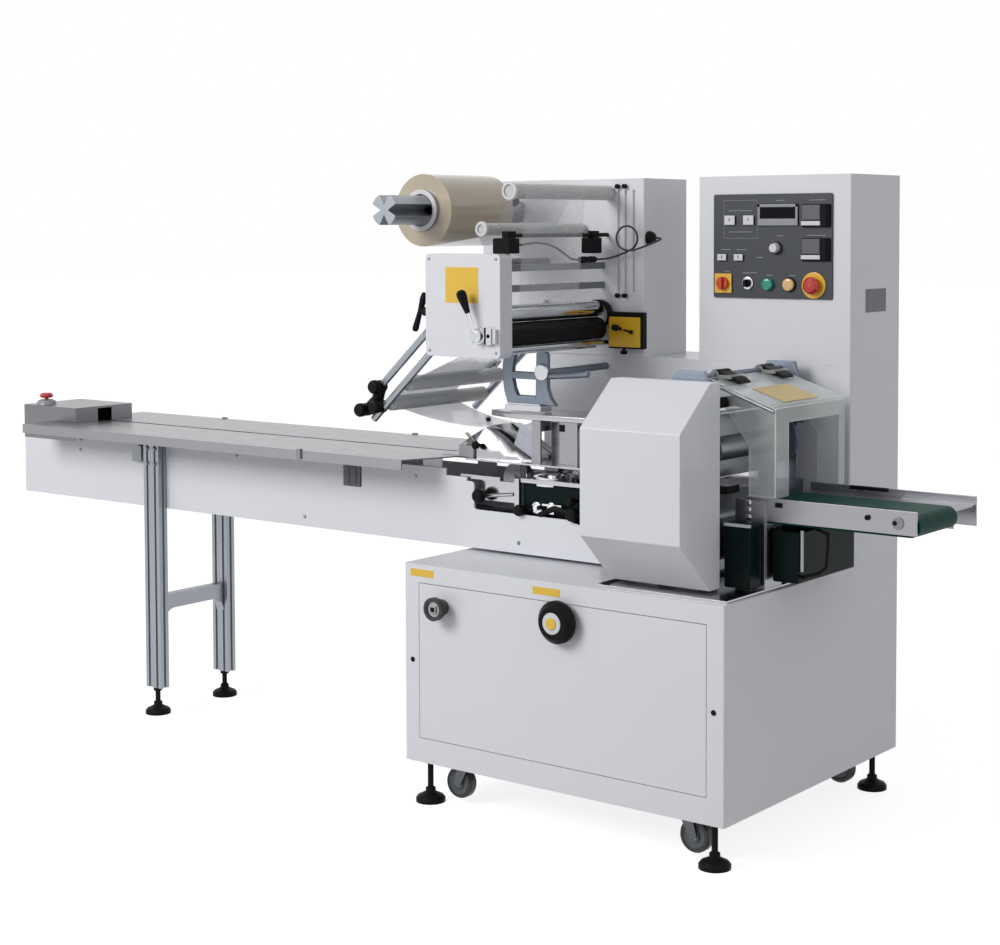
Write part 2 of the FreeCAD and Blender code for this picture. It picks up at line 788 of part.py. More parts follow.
def cable_connector():
    """The in-line plug and socket in the front sensor's cable."""
    return turned([(0, 0), (5, 0), (connector_r, 8), (connector_r, 30), (6, 34), (6, 40), (connector_r, 44),
                   (connector_r, 64), (5, 72), (0, 72)],
                  (-664, connector_y0, 1270), Y)


def tangent(c1, s1, c2, s2):
    """Ends of the line that touches two circles; a signed radius is positive where the line passes on the left."""
    run = math.hypot(c2[0] - c1[0], c2[1] - c1[1])
    angle = math.atan2(c2[1] - c1[1], c2[0] - c1[0]) + math.acos((s1 - s2) / run)
    nx, nz = math.cos(angle), math.sin(angle)
    return (c1[0] + s1 * nx, c1[1] + s1 * nz), (c2[0] + s2 * nx, c2[1] + s2 * nz)


def film_span(ends, width0, width1):
    """A flat stretch of film between two lines across the machine."""
    (x0, z0), (x1, z1) = ends
    run = math.hypot(x1 - x0, z1 - z0)
    corners = [(0, -width0 / 2), (run, -width1 / 2), (run, width1 / 2), (0, width0 / 2)]
    sheet = plate(corners, "z", -film_t / 2, film_t / 2)
    angle = -math.degrees(math.atan2(z1 - z0, x1 - x0))
    sheet.Placement = FreeCAD.Placement(V(x0, film_y + film_w / 2, z0), FreeCAD.Rotation(Y, angle)).multiply(
        sheet.Placement)
    return sheet


def guide_axes():
    """(x, z) of the two film guide rollers on the lower arm."""
    (x0, z0), (x1, z1) = lower_arm
    return [(x0 + (x1 - x0) * share, z0 + (z1 - z0) * share) for share in guide_places]


def film_web():
    """The film from the reel over the rollers to the forming box, as flat spans."""
    gap = slip + film_t / 2
    upper, lower = guide_axes()
    circles = [((roll_x, roll_z), -roll_r - gap), ((low_idler_x, low_idler_z), -low_idler_r - gap),
               ((idler_x, idler_z), idler_r + gap)]
    spans = [film_span(tangent(*circles[0], *circles[1]), film_w, film_w),
             film_span(tangent(*circles[1], *circles[2]), film_w, film_w),
             film_span(tangent(*circles[2], (nip_x, press_z), press_r + gap), film_w, film_w),
             film_span(tangent((nip_x, nip_z), -nip_r - gap, upper, -guide_r - gap), film_w, film_w),
             film_span(tangent(upper, -guide_r - gap, lower, -guide_r - gap), film_w, film_w),
             film_span(tangent(lower, -guide_r - gap, (former_x0 + 20, former_mouth + former_t), -gap),
                       film_w, 2 * former_mouth_half)]
    return Part.makeCompound(spans)


# ================================================================ film guide arms
def guide_arms():
    """Two pairs of sloping bars, their end clamps and knobs, and the two white guide rollers between them."""
    box = plate(box_points((box_x0, box_x1), (box_z0, box_top)), "y", box_front, box_back, box_r)
    pieces = []
    for y in (near_arm_y, far_arm_y):
        bars = [bar_between(*ends, arm_t, arm_h, y) for ends in (upper_arm, lower_arm)]
        clamp = bar_between((-1046, 984), (-1092, 872), arm_t + 6, 16, y)
        pieces.append(union(*bars, clamp))
    for x, z in (upper_arm[1], lower_arm[1]):
        knob = [(0, 0), (8, 0), (8, 6), (17, 8), (17, 24), (12, 28), (0, 28)]
        pieces.append(turned(knob, (x, near_arm_y - arm_t / 2 - 3, z), -Y))
    length = far_arm_y - near_arm_y - arm_t
    for x, z in guide_axes():
        pieces.append(cylinder(guide_r, (x, near_arm_y + arm_t / 2, z), Y, length))
    return Part.makeCompound([piece.cut(box) for piece in pieces])


# ================================================================ infeed
def infeed_side_plate():
    """The beam's front plate, stepped and notched where the fin-seal unit is reached."""
    points = [(beam_x0, beam_z0), (beam_x1, beam_z0), (beam_x1, 650), (-520, 658), (-560, 668, 8), (-835, 669, 8),
              (-835, 736, 10), (-858, 736), (-858, 745), (-923, 745), (-923, beam_z1), (end_x1 + 1, beam_z1),
              (end_x1 + 1, end_z0), (beam_x0, end_z0)]
    side = plate(points, "y", beam_front, beam_front + beam_t)
    window = block((-1263, -1201), (beam_front, beam_front + beam_t), (693, 749))
    return side.cut(window)


def infeed_beam():
    """The rest of the beam: bottom, rear plate, end plate, webs, table risers and the chain's sprockets."""
    inner = beam_front + beam_t
    bottom = block((beam_x0, beam_x1), (inner, beam_back - beam_t), (beam_z0, beam_z0 + beam_t))
    rear = block((beam_x0, beam_x1), (beam_back - beam_t, beam_back), (beam_z0, beam_rear_z1))
    end = block((beam_x0, beam_x0 + beam_t), (inner, beam_back - beam_t), (beam_z0 + beam_t, end_z0))
    webs = [block((x, x + beam_t), (inner, beam_back - beam_t), (beam_z0 + beam_t, 660))
            for x in (-2200, -1700, -1200, -860)]
    risers = []
    for x in (-2250, -1900, -1450, -1000):
        risers.append(block((x, x + 60), (inner, inner + beam_t), (beam_z1 - 60, table_top - table_t)))
        risers.append(block((x, x + 60), (beam_back - beam_t, beam_back), (beam_rear_z1, table_top - table_t)))
    z = chain_top - chain_r
    shafts = []
    for x, start, stop in ((chain_x0, inner, end_back - end_t), (chain_x1, line_y - 20, beam_back - beam_t)):
        wheel = cylinder(chain_r - chain_t, (x, line_y - 4, z), Y, 8)
        shafts.append(union(wheel, cylinder(10, (x, start, z), Y, stop - start)))
    return Part.makeCompound([union(bottom, rear, end, *webs, *risers[1::2], *shafts), *risers[::2]])


def infeed_end_box():
    """The stainless cover over the infeed chain's tail, open below and on its outfeed side."""
    outer = block((end_x0, end_x1), (beam_front, end_back), (end_z0, end_z1))
    inner = block((end_x0 + end_t, end_x1 - end_t), (beam_front + end_t, end_back - end_t),
                  (end_z0, end_z1 - end_t))
    mouth = block((end_x1 - end_t, end_x1), (300, 352), (end_z0, end_z1 - 42 + 36))
    collar = turned([(control_stem_r, 0), (estop_collar_r, 0), (estop_collar_r - 4, 10), (18, 14),
                     (control_stem_r, 14)], (infeed_stop_x, infeed_stop_y, end_z1), Z)
    bore = cylinder(control_stem_r + run_fit, (infeed_stop_x, infeed_stop_y, end_z0), Z, end_z1 + 20 - end_z0)
    return union(outer.cut([inner, mouth]), collar).cut(bore)


def table_wing(front):
    """One half of the folded table sheet: flat top beside the chain slot and a turned-down edge."""
    if front:
        y0, y1 = table_front, line_y - slot_half
        x1 = front_wing_x1
        top = [(table_x0, y0), (x1, y0), (x1 + 90, y1), (end_x1 + 2, y1), (end_x1 + 2, beam_front - 2),
               (table_x0, beam_front - 2)]
        edge = block((table_x0, x1), (y0, y0 + table_t), (table_top - flange_h, table_top))
    else:
        y0, y1 = line_y + slot_half, table_back
        x1 = rear_wing_x1
        top = [(end_x1 + 2, y0), (x1 + 60, y0), (x1, y1), (table_x0, y1), (table_x0, end_back + 2),
               (end_x1 + 2, end_back + 2)]
        edge = block((table_x0, x1), (y1 - table_t, y1), (table_top - flange_h, table_top))
    return union(plate(top, "z", table_top - table_t, table_top), edge)


def infeed_chain():
    """The pusher chain as one closed loop in the table's slot."""
    z1 = chain_top
    z0 = chain_top - 2 * chain_r
    loop = [(chain_x0 - chain_r, z0), (chain_x1 + chain_r, z0), (chain_x1 + chain_r, z1), (chain_x0 - chain_r, z1)]
    hollow = [(chain_x0 - chain_r + chain_t, z0 + chain_t), (chain_x1 + chain_r - chain_t, z0 + chain_t),
              (chain_x1 + chain_r - chain_t, z1 - chain_t), (chain_x0 - chain_r + chain_t, z1 - chain_t)]
    y0, y1 = line_y - chain_w / 2, line_y + chain_w / 2
    outer = plate(loop, "y", y0, y1, chain_r - 0.01)
    return outer.cut(plate(hollow, "y", y0, y1, chain_r - chain_t - 0.01))


def leg(y0):
    """A slotted aluminium extrusion leg."""
    x0, x1 = leg_x - leg_w / 2, leg_x + leg_w / 2
    y1 = y0 + leg_d
    body = block((x0, x1), (y0, y1), (leg_z0, leg_z1))
    for x in (leg_x - leg_w / 4, leg_x + leg_w / 4):
        for y in (y0, y1 - leg_slot_d):
            body = body.cut(block((x - leg_slot / 2, x + leg_slot / 2), (y, y + leg_slot_d), (leg_z0, leg_z1)))
    for x in (x0, x1 - leg_slot_d):
        mid = (y0 + y1) / 2
        body = body.cut(block((x, x + leg_slot_d), (mid - leg_slot / 2, mid + leg_slot / 2), (leg_z0, leg_z1)))
    return body


def infeed_legs():
    """Two legs against the beam's plates and the bar between them, with a curved gusset under each end."""
    gusset = 38.0
    bar = block((leg_x - 15, leg_x + 15), (beam_front, beam_back), (bar_z0, bar_z0 + bar_h))
    for y, side in ((beam_front, 1), (beam_back, -1)):
        web = block((leg_x - 15, leg_x + 15), sorted((y, y + side * gusset)), (bar_z0 - gusset, bar_z0))
        scoop = cylinder(gusset, (leg_x - 15, y + side * gusset, bar_z0 - gusset), X, 30)
        bar = bar.fuse(web.cut(scoop))
    return union(bar, leg(beam_front - leg_d), leg(beam_back))


# ================================================================ forming box, fin seal, bridge
def forming_box():
    """The forming box: a sheet-metal tunnel, open below, that narrows from the film's mouth to the tube."""
    def section(x, half, top):
        inner = half - former_t
        corners = [(-half, table_top), (-half, top), (half, top), (half, table_top), (inner, table_top),
                   (inner, top - former_t), (-inner, top - former_t), (-inner, table_top)]
        return Part.makePolygon([V(x, line_y + y, z) for y, z in corners + corners[:1]])

    tunnel = Part.makeLoft([section(former_x0 + 90, former_mouth_half, former_mouth),
                            section(former_x1, former_half, former_top)], True, True)
    lip = plate([(former_x0, line_y - former_mouth_half), (former_x0 + 90, line_y - former_mouth_half),
                 (former_x0 + 90, line_y + former_mouth_half), (former_x0, line_y + former_mouth_half)], "z",
                former_mouth - former_t, former_mouth)
    return union(tunnel, lip)


def fin_seal_unit():
    """The bed under the forming box and the gearbox that carries the fin wheels' shafts."""
    bed = block((-868, -245), (beam_front + 8, beam_back - 8), (table_top - 4, table_top))
    bed = bed.cut(block((-700, -250), (line_y - 6, line_y + 6), (table_top - 4, table_top)))
    gearbox = block((-720, -520), (beam_front + 30, beam_back - 30), (beam_z0 + beam_t, fin_block_top))
    for side in (-1, 1):
        gearbox = gearbox.cut(cylinder(fin_shaft_r + run_fit,
                                       (fin_x, line_y + side * (fin_r + slip / 2), fin_block_top), -Z, bore_depth))
    posts = [block((x, x + 20), (y, y + 12), (fin_block_top, table_top - 4))
             for x in (-718, -542) for y in (beam_front + 30, beam_back - 42)]
    return Part.makeCompound([union(gearbox, *posts, bed), fin_wheel(-1), fin_wheel(1)])


def fin_wheel(side):
    """A fin-seal wheel: knurled rim, web, and a shaft down into the gearbox."""
    y = line_y + side * (fin_r + slip / 2)
    top = fin_z0 + fin_t
    profile = [(0, fin_block_top - bore_depth), (fin_shaft_r, fin_block_top - bore_depth),
               (fin_shaft_r, fin_block_top + slip), (18, fin_block_top + slip), (18, fin_z0), (fin_r, fin_z0),
               (fin_r, top), (fin_r - 10, top), (fin_r - 12, top - 5), (20, top - 5), (18, top + 3), (0, top + 3)]
    return turned(profile, (fin_x, y, 0), Z)


def yoke_bracket():
    """The cast yoke over the film tube: a windowed plate, its foot and the arm to the rear housing."""
    y0, y1 = yoke_y, yoke_y + yoke_t
    frame = plate([(yoke_x0, yoke_z0), (yoke_x1, yoke_z0), (yoke_x1 - 22, yoke_z0 + 40, 14),
                   (yoke_x1 - 22, yoke_z1, 10), (yoke_x0 - 8, yoke_z1, 12), (yoke_x0 - 8, yoke_z0 + 60, 20)],
                  "y", y0, y1)
    for z0, z1 in ((923, 968), (980, 1024)):
        window = plate(box_points((yoke_x0 + 16, yoke_x1 - 62), (z0, z1)), "y", y0, y1, 9)
        frame = frame.cut(window)
    arm = cylinder(11, (-675, y1, 1004), Y, housing_front - y1)
    boss = cylinder(20, (-675, y0 - 10, 1004), Y, yoke_t + 20)
    foot_bar = block((yoke_x0 + 4, yoke_x1 + 12), (y0 - 16, y1 + 16), (yoke_z0 - 0, yoke_z0 + 8))
    return union(frame, arm, boss, foot_bar)


def sealing_bridge():
    """The polished rail over the film tube and the stainless plates that hang from it to the bed."""
    rail = plate([(rail_x0, 285), (rail_x0, 335), (-700, 408), (rail_x1, 408), (rail_x1, 252), (-700, 252)],
                 "z", rail_z, rail_z + rail_t, 10)
    front_web = block((-696, -640), (258, 264), (table_top, rail_z))
    rear_web = block((-668, -580), (396, 402), (table_top, rail_z))
    end_web = block((-572, -556), (258, 264), (table_top, rail_z))
    return union(rail, front_web, rear_web, end_web)


# ================================================================ end sealing
def deck_tray():
    """The polished tray on the cabinet's deck under the end-sealing station."""
    return block((tray_x0, tray_x1), (20, housing_front - 2), (deck, deck + tray_t))


def jaw_axes():
    """Heights of the upper and lower jaw shafts."""
    return seal_z + jaw_offset, seal_z - jaw_offset


def jaw_frame():
    """The two side plates that carry the jaw shafts, their tie rods and the guard's hinge rod."""
    foot_z = deck + tray_t
    pieces = []
    for y in (frame_front, frame_back):
        side = plate([(frame_x0, foot_z), (frame_x1, foot_z), (frame_x1, 940, 30), (-120, frame_top, 16),
                      (-190, frame_top, 16), (frame_x0, 960, 30)], "y", y, y + frame_t)
        for z in jaw_axes():
            side = side.cut(cylinder(jaw_shaft_r + run_fit, (jaw_x, y, z), Y, frame_t))
        pieces.append(side)
    inner = frame_front + frame_t
    ties = [cylinder(hinge_r, (hinge_x, inner, hinge_z), Y, frame_back - inner),
            cylinder(9, (-190, inner, 1000), Y, frame_back - inner),
            cylinder(9, (-105, inner, 600), Y, frame_back - inner),
            cylinder(9, (-225, inner, 600), Y, frame_back - inner)]
    return union(*pieces, *ties)


def end_seal_hood():
    """The sheet-metal hood in front of the jaws, with chamfered top and bottom."""
    back = frame_front
    side = [(back, hood_z0), (98, hood_z0), (hood_front, 689), (hood_front, 921), (98, hood_top), (back, hood_top)]
    return plate(side, "x", hood_x0, hood_x1)


def seal_jaw(z, facing):
    """A rotary end-sealing jaw: shaft, hub and two opposed jaw bars with round tips."""
    y0 = frame_front
    y1 = frame_back + frame_t
    shaft = cylinder(jaw_shaft_r, (jaw_x, y0, z), Y, y1 - y0)
    hub_y0 = line_y - jaw_length / 2 - 20
    hub = cylinder(jaw_hub_r, (jaw_x, hub_y0, z), Y, jaw_length + 40)
    bars = block((jaw_x - jaw_w / 2, jaw_x + jaw_w / 2), (line_y - jaw_length / 2, line_y + jaw_length / 2),
                 (z - jaw_r - 5, z + jaw_r + 5))
    sweep = cylinder(jaw_r, (jaw_x, hub_y0, z), Y, jaw_length + 40)
    return union(shaft, hub, bars.common(sweep))


# ================================================================ clear guard
def clear_guard():
    """The hinged acrylic guard over the outfeed: sloping top, two sides, an open-mouthed end and two hinges."""
    top_line = [(hinge_x, hinge_z - 8), (guard_x, guard_shoulder)]
    sides = []
    for y in (guard_y0, guard_y1 - guard_t):
        sides.append(plate([top_line[0], top_line[1], (guard_x, guard_low), (-50, guard_low), (-50, 880)],
                           "y", y, y + guard_t))
    end = block((guard_x - guard_t, guard_x), (guard_y0, guard_y1), (guard_low, guard_shoulder))
    mouth = block((guard_x - guard_t, guard_x), (guard_y0 + 58, guard_y1 - 22), (guard_low, 930))
    slope = plate([(hinge_x, hinge_z - 8), (guard_x, guard_shoulder), (guard_x, guard_shoulder + guard_t),
                   (hinge_x, hinge_z - 8 + guard_t)], "y", guard_y0, guard_y1)
    shell = union(end.cut(mouth), slope, *sides)
    for y in (guard_y0 + 30, guard_y1 - 90):
        knuckle = cylinder(11, (hinge_x, y, hinge_z), Y, 60)
        leaf = block((hinge_x, hinge_x + 42), (y, y + 60), (-3, 5))
        leaf = leaf.common(leaf)
        leaf.translate(V(0, 0, hinge_z - 4))
        shell = shell.fuse([knuckle, leaf])
        shell = shell.cut(cylinder(hinge_r + run_fit, (hinge_x, y, hinge_z), Y, 60))
    return shell.cut(cylinder(hinge_r + run_fit, (hinge_x, guard_y0, hinge_z), Y, guard_y1 - guard_y0))


# ================================================================ outfeed
def outfeed_frame():
    """The outfeed conveyor's side rails, slider bed and two drums."""
    front = block((rail_left, rail_right), (rail_front, rail_front + rail_plate), (rail_low, rail_high))
    back = block((rail_left, rail_right), (rail_back - rail_plate, rail_back), (rear_rail_low, rail_high))
    y0, y1 = rail_front + rail_plate, rail_back - rail_plate
    drum_r = belt_r - belt_t
    nose_x = belt_nose - belt_r
    bed = block((belt_tail_x + 40, nose_x - 40), (y0, y1), (belt_z + 2, belt_z + drum_r))
    drums = [cylinder(drum_r, (x, y0, belt_z), Y, y1 - y0) for x in (belt_tail_x, nose_x)]
    plug = cylinder(12, (nose_x, rail_front, belt_z), -Y, 3)
    return union(front, back, bed, *drums, plug, outfeed_post())


def outfeed_belt():
    """The endless belt round the drums."""
    nose_x = belt_nose - belt_r

    def track(radius):
        corners = [(belt_tail_x - radius, belt_z - radius), (nose_x + radius, belt_z - radius),
                   (nose_x + radius, belt_z + radius), (belt_tail_x - radius, belt_z + radius)]
        return plate(corners, "y", rail_front + rail_plate + 2, rail_back - rail_plate - 2, radius - 0.01)

    return track(belt_r).cut(track(belt_r - belt_t))


def outfeed_post():
    """The bent plate post that carries the outfeed's near rail."""
    z0 = deck + tray_t
    face = block((-post_w, tray_x1), (rail_front - post_t, rail_front), (z0, rail_high - 6))
    wing = block((tray_x1 - post_t, tray_x1), (rail_front, rail_front + post_d), (z0, rail_low))
    return union(face, wing)


def infeed_estop():
    """The infeed's emergency stop mushroom on its collar."""
    gap = 14 + estop_stroke + slip
    head = turned([(0, gap), (15, gap), (estop_head_r, gap + 4), (estop_head_r, gap + 8), (14, gap + 14),
                   (0, gap + 15)], (infeed_stop_x, infeed_stop_y, end_z1), Z)
    return union(head, cylinder(control_stem_r, (infeed_stop_x, infeed_stop_y, end_z1 + 2), Z, gap))


# ================================================================ all the pieces
def nodes():
    """Every sub-part by name."""
    upper, lower = jaw_axes()
    parts = {
        "base_cabinet": base_cabinet(),
        "cabinet_door": cabinet_door(),
        "levelling_feet": levelling_feet(),
        "handwheel": handwheel(),
        "adjust_knob": adjust_knob(),
        "rear_housing": rear_housing(),
        "electrical_cabinet": electrical_cabinet(),
        "control_panel": control_panel(),
        "panel_instruments": panel_instruments(),
        "panel_estop": panel_estop(),
        "main_switch": turn_switch(switch_u, switch_v, 16, 3, 8, 8),
        "selector_switch": turn_switch(selector_u, selector_v, 10, 4, 6, 6),
        "speed_dial": speed_dial(),
        "film_head_box": film_head_box(),
        "head_fittings": head_fittings(),
        "front_bearing_box": front_bearing_box(),
        "tie_bars": tie_bars(),
        "film_roll": film_roll(),
        "roll_shaft": roll_shaft(),
        "upper_idler": roller(idler_x, idler_z, idler_r, idler_front, head_front - 8, idler_spindle_r),
        "lower_idler": roller(low_idler_x, low_idler_z, low_idler_r, idler_front, head_front - 8, idler_spindle_r),
        "feed_roller": nip_roller(nip_z, nip_r),
        "pressure_roller": nip_roller(press_z, press_r),
        "nip_drive_block": nip_drive_block(),
        "release_lever": release_lever(),
        "side_handle": side_handle(),
        "sensor_bar": sensor_bar(),
        "sensor_cable_lead": bent_bar(cable_lead, cable_r),
        "cable_connector": cable_connector(),
        "sensor_cable_tail": bent_bar(cable_tail, cable_r),
        "film_web": film_web(),
        "guide_arms": guide_arms(),
        "infeed_side_plate": infeed_side_plate(),
        "infeed_beam": infeed_beam(),
        "infeed_end_box": infeed_end_box(),
        "infeed_estop": infeed_estop(),
        "infeed_table": Part.makeCompound([table_wing(True), table_wing(False)]),
        "infeed_chain": infeed_chain(),
        "infeed_legs": infeed_legs(),
        "forming_box": forming_box(),
        "fin_seal_unit": fin_seal_unit(),
        "yoke_bracket": yoke_bracket(),
        "sealing_bridge": sealing_bridge(),
        "deck_tray": deck_tray(),
        "jaw_frame": jaw_frame(),
        "end_seal_hood": end_seal_hood(),
        "upper_jaw": seal_jaw(upper, -1),
        "lower_jaw": seal_jaw(lower, 1),
        "clear_guard": clear_guard(),
        "outfeed_frame": outfeed_frame(),
        "outfeed_belt": outfeed_belt(),
    }
    for name, place in caster_places().items():
        parts[f"{name}_caster_fork"] = caster_fork(place)
        parts[f"{name}_caster_wheel"] = caster_wheel(place)
    return parts


def main():
    """Moves each piece to the machine's origin and writes it."""
    os.makedirs("parts", exist_ok=True)
    for name, shape in nodes().items():
        shape.translate(-origin)
        shape.exportStep(f"parts/{name}.step")


main()
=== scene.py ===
"""Dresses the solids of a horizontal flow wrapper: finishes, fittings, film, cables, light and camera."""
import logging
import math
from dataclasses import dataclass
from enum import Enum
from typing import Iterable, Sequence

import bmesh
import bpy
from mathutils import Matrix, Vector


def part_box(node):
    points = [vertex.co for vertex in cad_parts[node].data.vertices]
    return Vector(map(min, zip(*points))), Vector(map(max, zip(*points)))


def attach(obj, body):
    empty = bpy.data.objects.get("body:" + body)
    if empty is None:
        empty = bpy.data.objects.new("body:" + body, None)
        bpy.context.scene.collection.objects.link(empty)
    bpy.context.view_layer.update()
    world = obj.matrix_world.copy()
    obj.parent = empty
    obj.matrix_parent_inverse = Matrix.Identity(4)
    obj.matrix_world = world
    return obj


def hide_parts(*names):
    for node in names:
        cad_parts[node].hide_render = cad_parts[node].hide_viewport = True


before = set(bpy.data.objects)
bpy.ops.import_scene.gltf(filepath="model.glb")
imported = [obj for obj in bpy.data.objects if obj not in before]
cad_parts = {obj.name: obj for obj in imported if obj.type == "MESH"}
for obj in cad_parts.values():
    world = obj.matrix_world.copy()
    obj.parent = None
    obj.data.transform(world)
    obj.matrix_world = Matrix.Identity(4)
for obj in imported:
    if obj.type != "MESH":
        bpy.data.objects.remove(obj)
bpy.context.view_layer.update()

MM = 0.001
CORNER = Vector((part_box("base_cabinet")[1].x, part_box("base_cabinet")[0].y, 0.0))
ROOT = "machine"
LOG = logging.getLogger("flow_wrapper")
FORWARD, BACKWARD, DOWNWARD = (0, -1, 0), (0, 1, 0), (0, 0, -1)
CLOUD_SCALE, CLOUD_DETAIL = 3.5, 4.0
SMEAR_SCALE, SMEAR_DETAIL = 28.0, 3.0
GRAIN_DETAIL = 2.0
RIPPLE_DETAIL = 1.0
EDGE_SAMPLES = 4
# SHEET_FALLOFF and SHEET_CURVE shape the painted reflection on the clear sheets.
SHEET_FALLOFF, SHEET_CURVE, SHEET_SPECULAR = 0.35, 2.5, 0.9
EASED_ANGLE = math.radians(40)
EASED_SEGMENTS = 2
DULL = 0.14

Point = Sequence[float]
Colour = tuple[float, float, float]


# ---------------------------------------------------------------- finishes
class Grain(Enum):
    """The small relief that a finish carries."""
    SMOOTH = "smooth"
    PEEL = "powder coat"
    BRUSHED_X = "brushed along the machine"
    BRUSHED_Y = "brushed across the machine"
    BRUSHED_Z = "brushed upright"
    CAST = "sand cast"
    MOULDED = "moulded texture"
    WOVEN = "woven belt"
    WOUND = "wound film"


GRAIN_STRETCH: dict[Grain, tuple[float, float, float]] = {
    Grain.BRUSHED_X: (0.02, 1.0, 1.0),
    Grain.BRUSHED_Y: (1.0, 0.02, 1.0),
    Grain.BRUSHED_Z: (1.0, 1.0, 0.02),
    Grain.WOUND: (1.0, 0.01, 1.0),
}


class Bounds(Enum):
    """The form of an inlaid area."""
    BLOCK = "block"
    ROUND_Y = "round, along Y"


@dataclass(frozen=True)
class Inlay:
    """An area of a piece that has another colour, as a hub inside a tyre has.

    ``centre`` and ``half`` are in millimetres, as in ``Form``; a round area uses ``half[0]`` as its radius and
    ``half[1]`` as half its length.
    """
    bounds: Bounds
    centre: tuple[float, float, float]
    half: tuple[float, float, float]
    colour: Colour
    roughness: float = 0.4
    metallic: float = 0.0


class Recipe:
    """A material's node tree while it is being put together."""

    def __init__(self, name: str) -> None:
        """Start a material with a plain Principled shader.

        Args:
            name: the material's name.
        """
        self.material = bpy.data.materials.new(name)
        self.material.use_nodes = True
        self.tree = self.material.node_tree
        self.shader = next(n for n in self.tree.nodes if n.type == "BSDF_PRINCIPLED")

    def node(self, kind: str, settings: dict | None = None, **inputs: object) -> bpy.types.Node:
        """Add a node.

        Args:
            kind: the node's class name without its ``ShaderNode`` start.
            settings: values for the node's own properties.
            inputs: values or output sockets, by input name with ``_`` for a space, or ``i0``, ``i1`` by place.

        Returns:
            The new node.
        """
        made = self.tree.nodes.new("ShaderNode" + kind)
        for key, value in (settings or {}).items():
            setattr(made, key, value)
        for key, value in inputs.items():
            by_place = key[0] == "i" and key[1:].isdigit()
            socket = made.inputs[int(key[1:])] if by_place else made.inputs[key.replace("_", " ")]
            if isinstance(value, bpy.types.NodeSocket):
                self.tree.links.new(value, socket)
            else:
                socket.default_value = value
        return made

    def math(self, operation: str, *values: object) -> bpy.types.NodeSocket:
        """Add a math node and return its output.

        Args:
            operation: the node's operation, such as ``MULTIPLY``.
            values: one to three numbers or sockets.

        Returns:
            The node's output socket.
        """
        settings = {"operation": operation}
        return self.node("Math", settings, **{f"i{n}": v for n, v in enumerate(values)}).outputs[0]

    def feed(self, socket: str, value: object) -> None:
        """Give one of the shader's sockets a value or a link.

        Args:
            socket: the socket's name.
            value: a value or an output socket.
        """
        target = self.shader.inputs[socket]
        if isinstance(value, bpy.types.NodeSocket):
            self.tree.links.new(value, target)
        else:
            target.default_value = value

    def mask(self, inlay: Inlay, place: bpy.types.NodeSocket) -> bpy.types.NodeSocket:
        """Return 1 inside an inlay's area and 0 outside it.

        Args:
            inlay: the area.
            place: the object's coordinates.

        Returns:
            The mask's socket.
        """
        centre = CORNER + MM * Vector(inlay.centre)
        half = [MM * reach for reach in inlay.half]
        moved = self.node("VectorMath", {"operation": "SUBTRACT"}, i0=place, i1=centre).outputs[0]
        parts = self.node("SeparateXYZ", None, i0=moved).outputs
        if inlay.bounds is Bounds.BLOCK:
            inside = [self.math("LESS_THAN", self.math("ABSOLUTE", parts[n]), half[n]) for n in range(3)]
        else:
            across = self.math("ADD", self.math("POWER", parts[0], 2.0), self.math("POWER", parts[2], 2.0))
            inside = [self.math("LESS_THAN", across, half[0] ** 2),
                      self.math("LESS_THAN", self.math("ABSOLUTE", parts[1]), half[1])]
        result = inside[0]
        for more in inside[1:]:
            result = self.math("MULTIPLY", result, more)
        return result


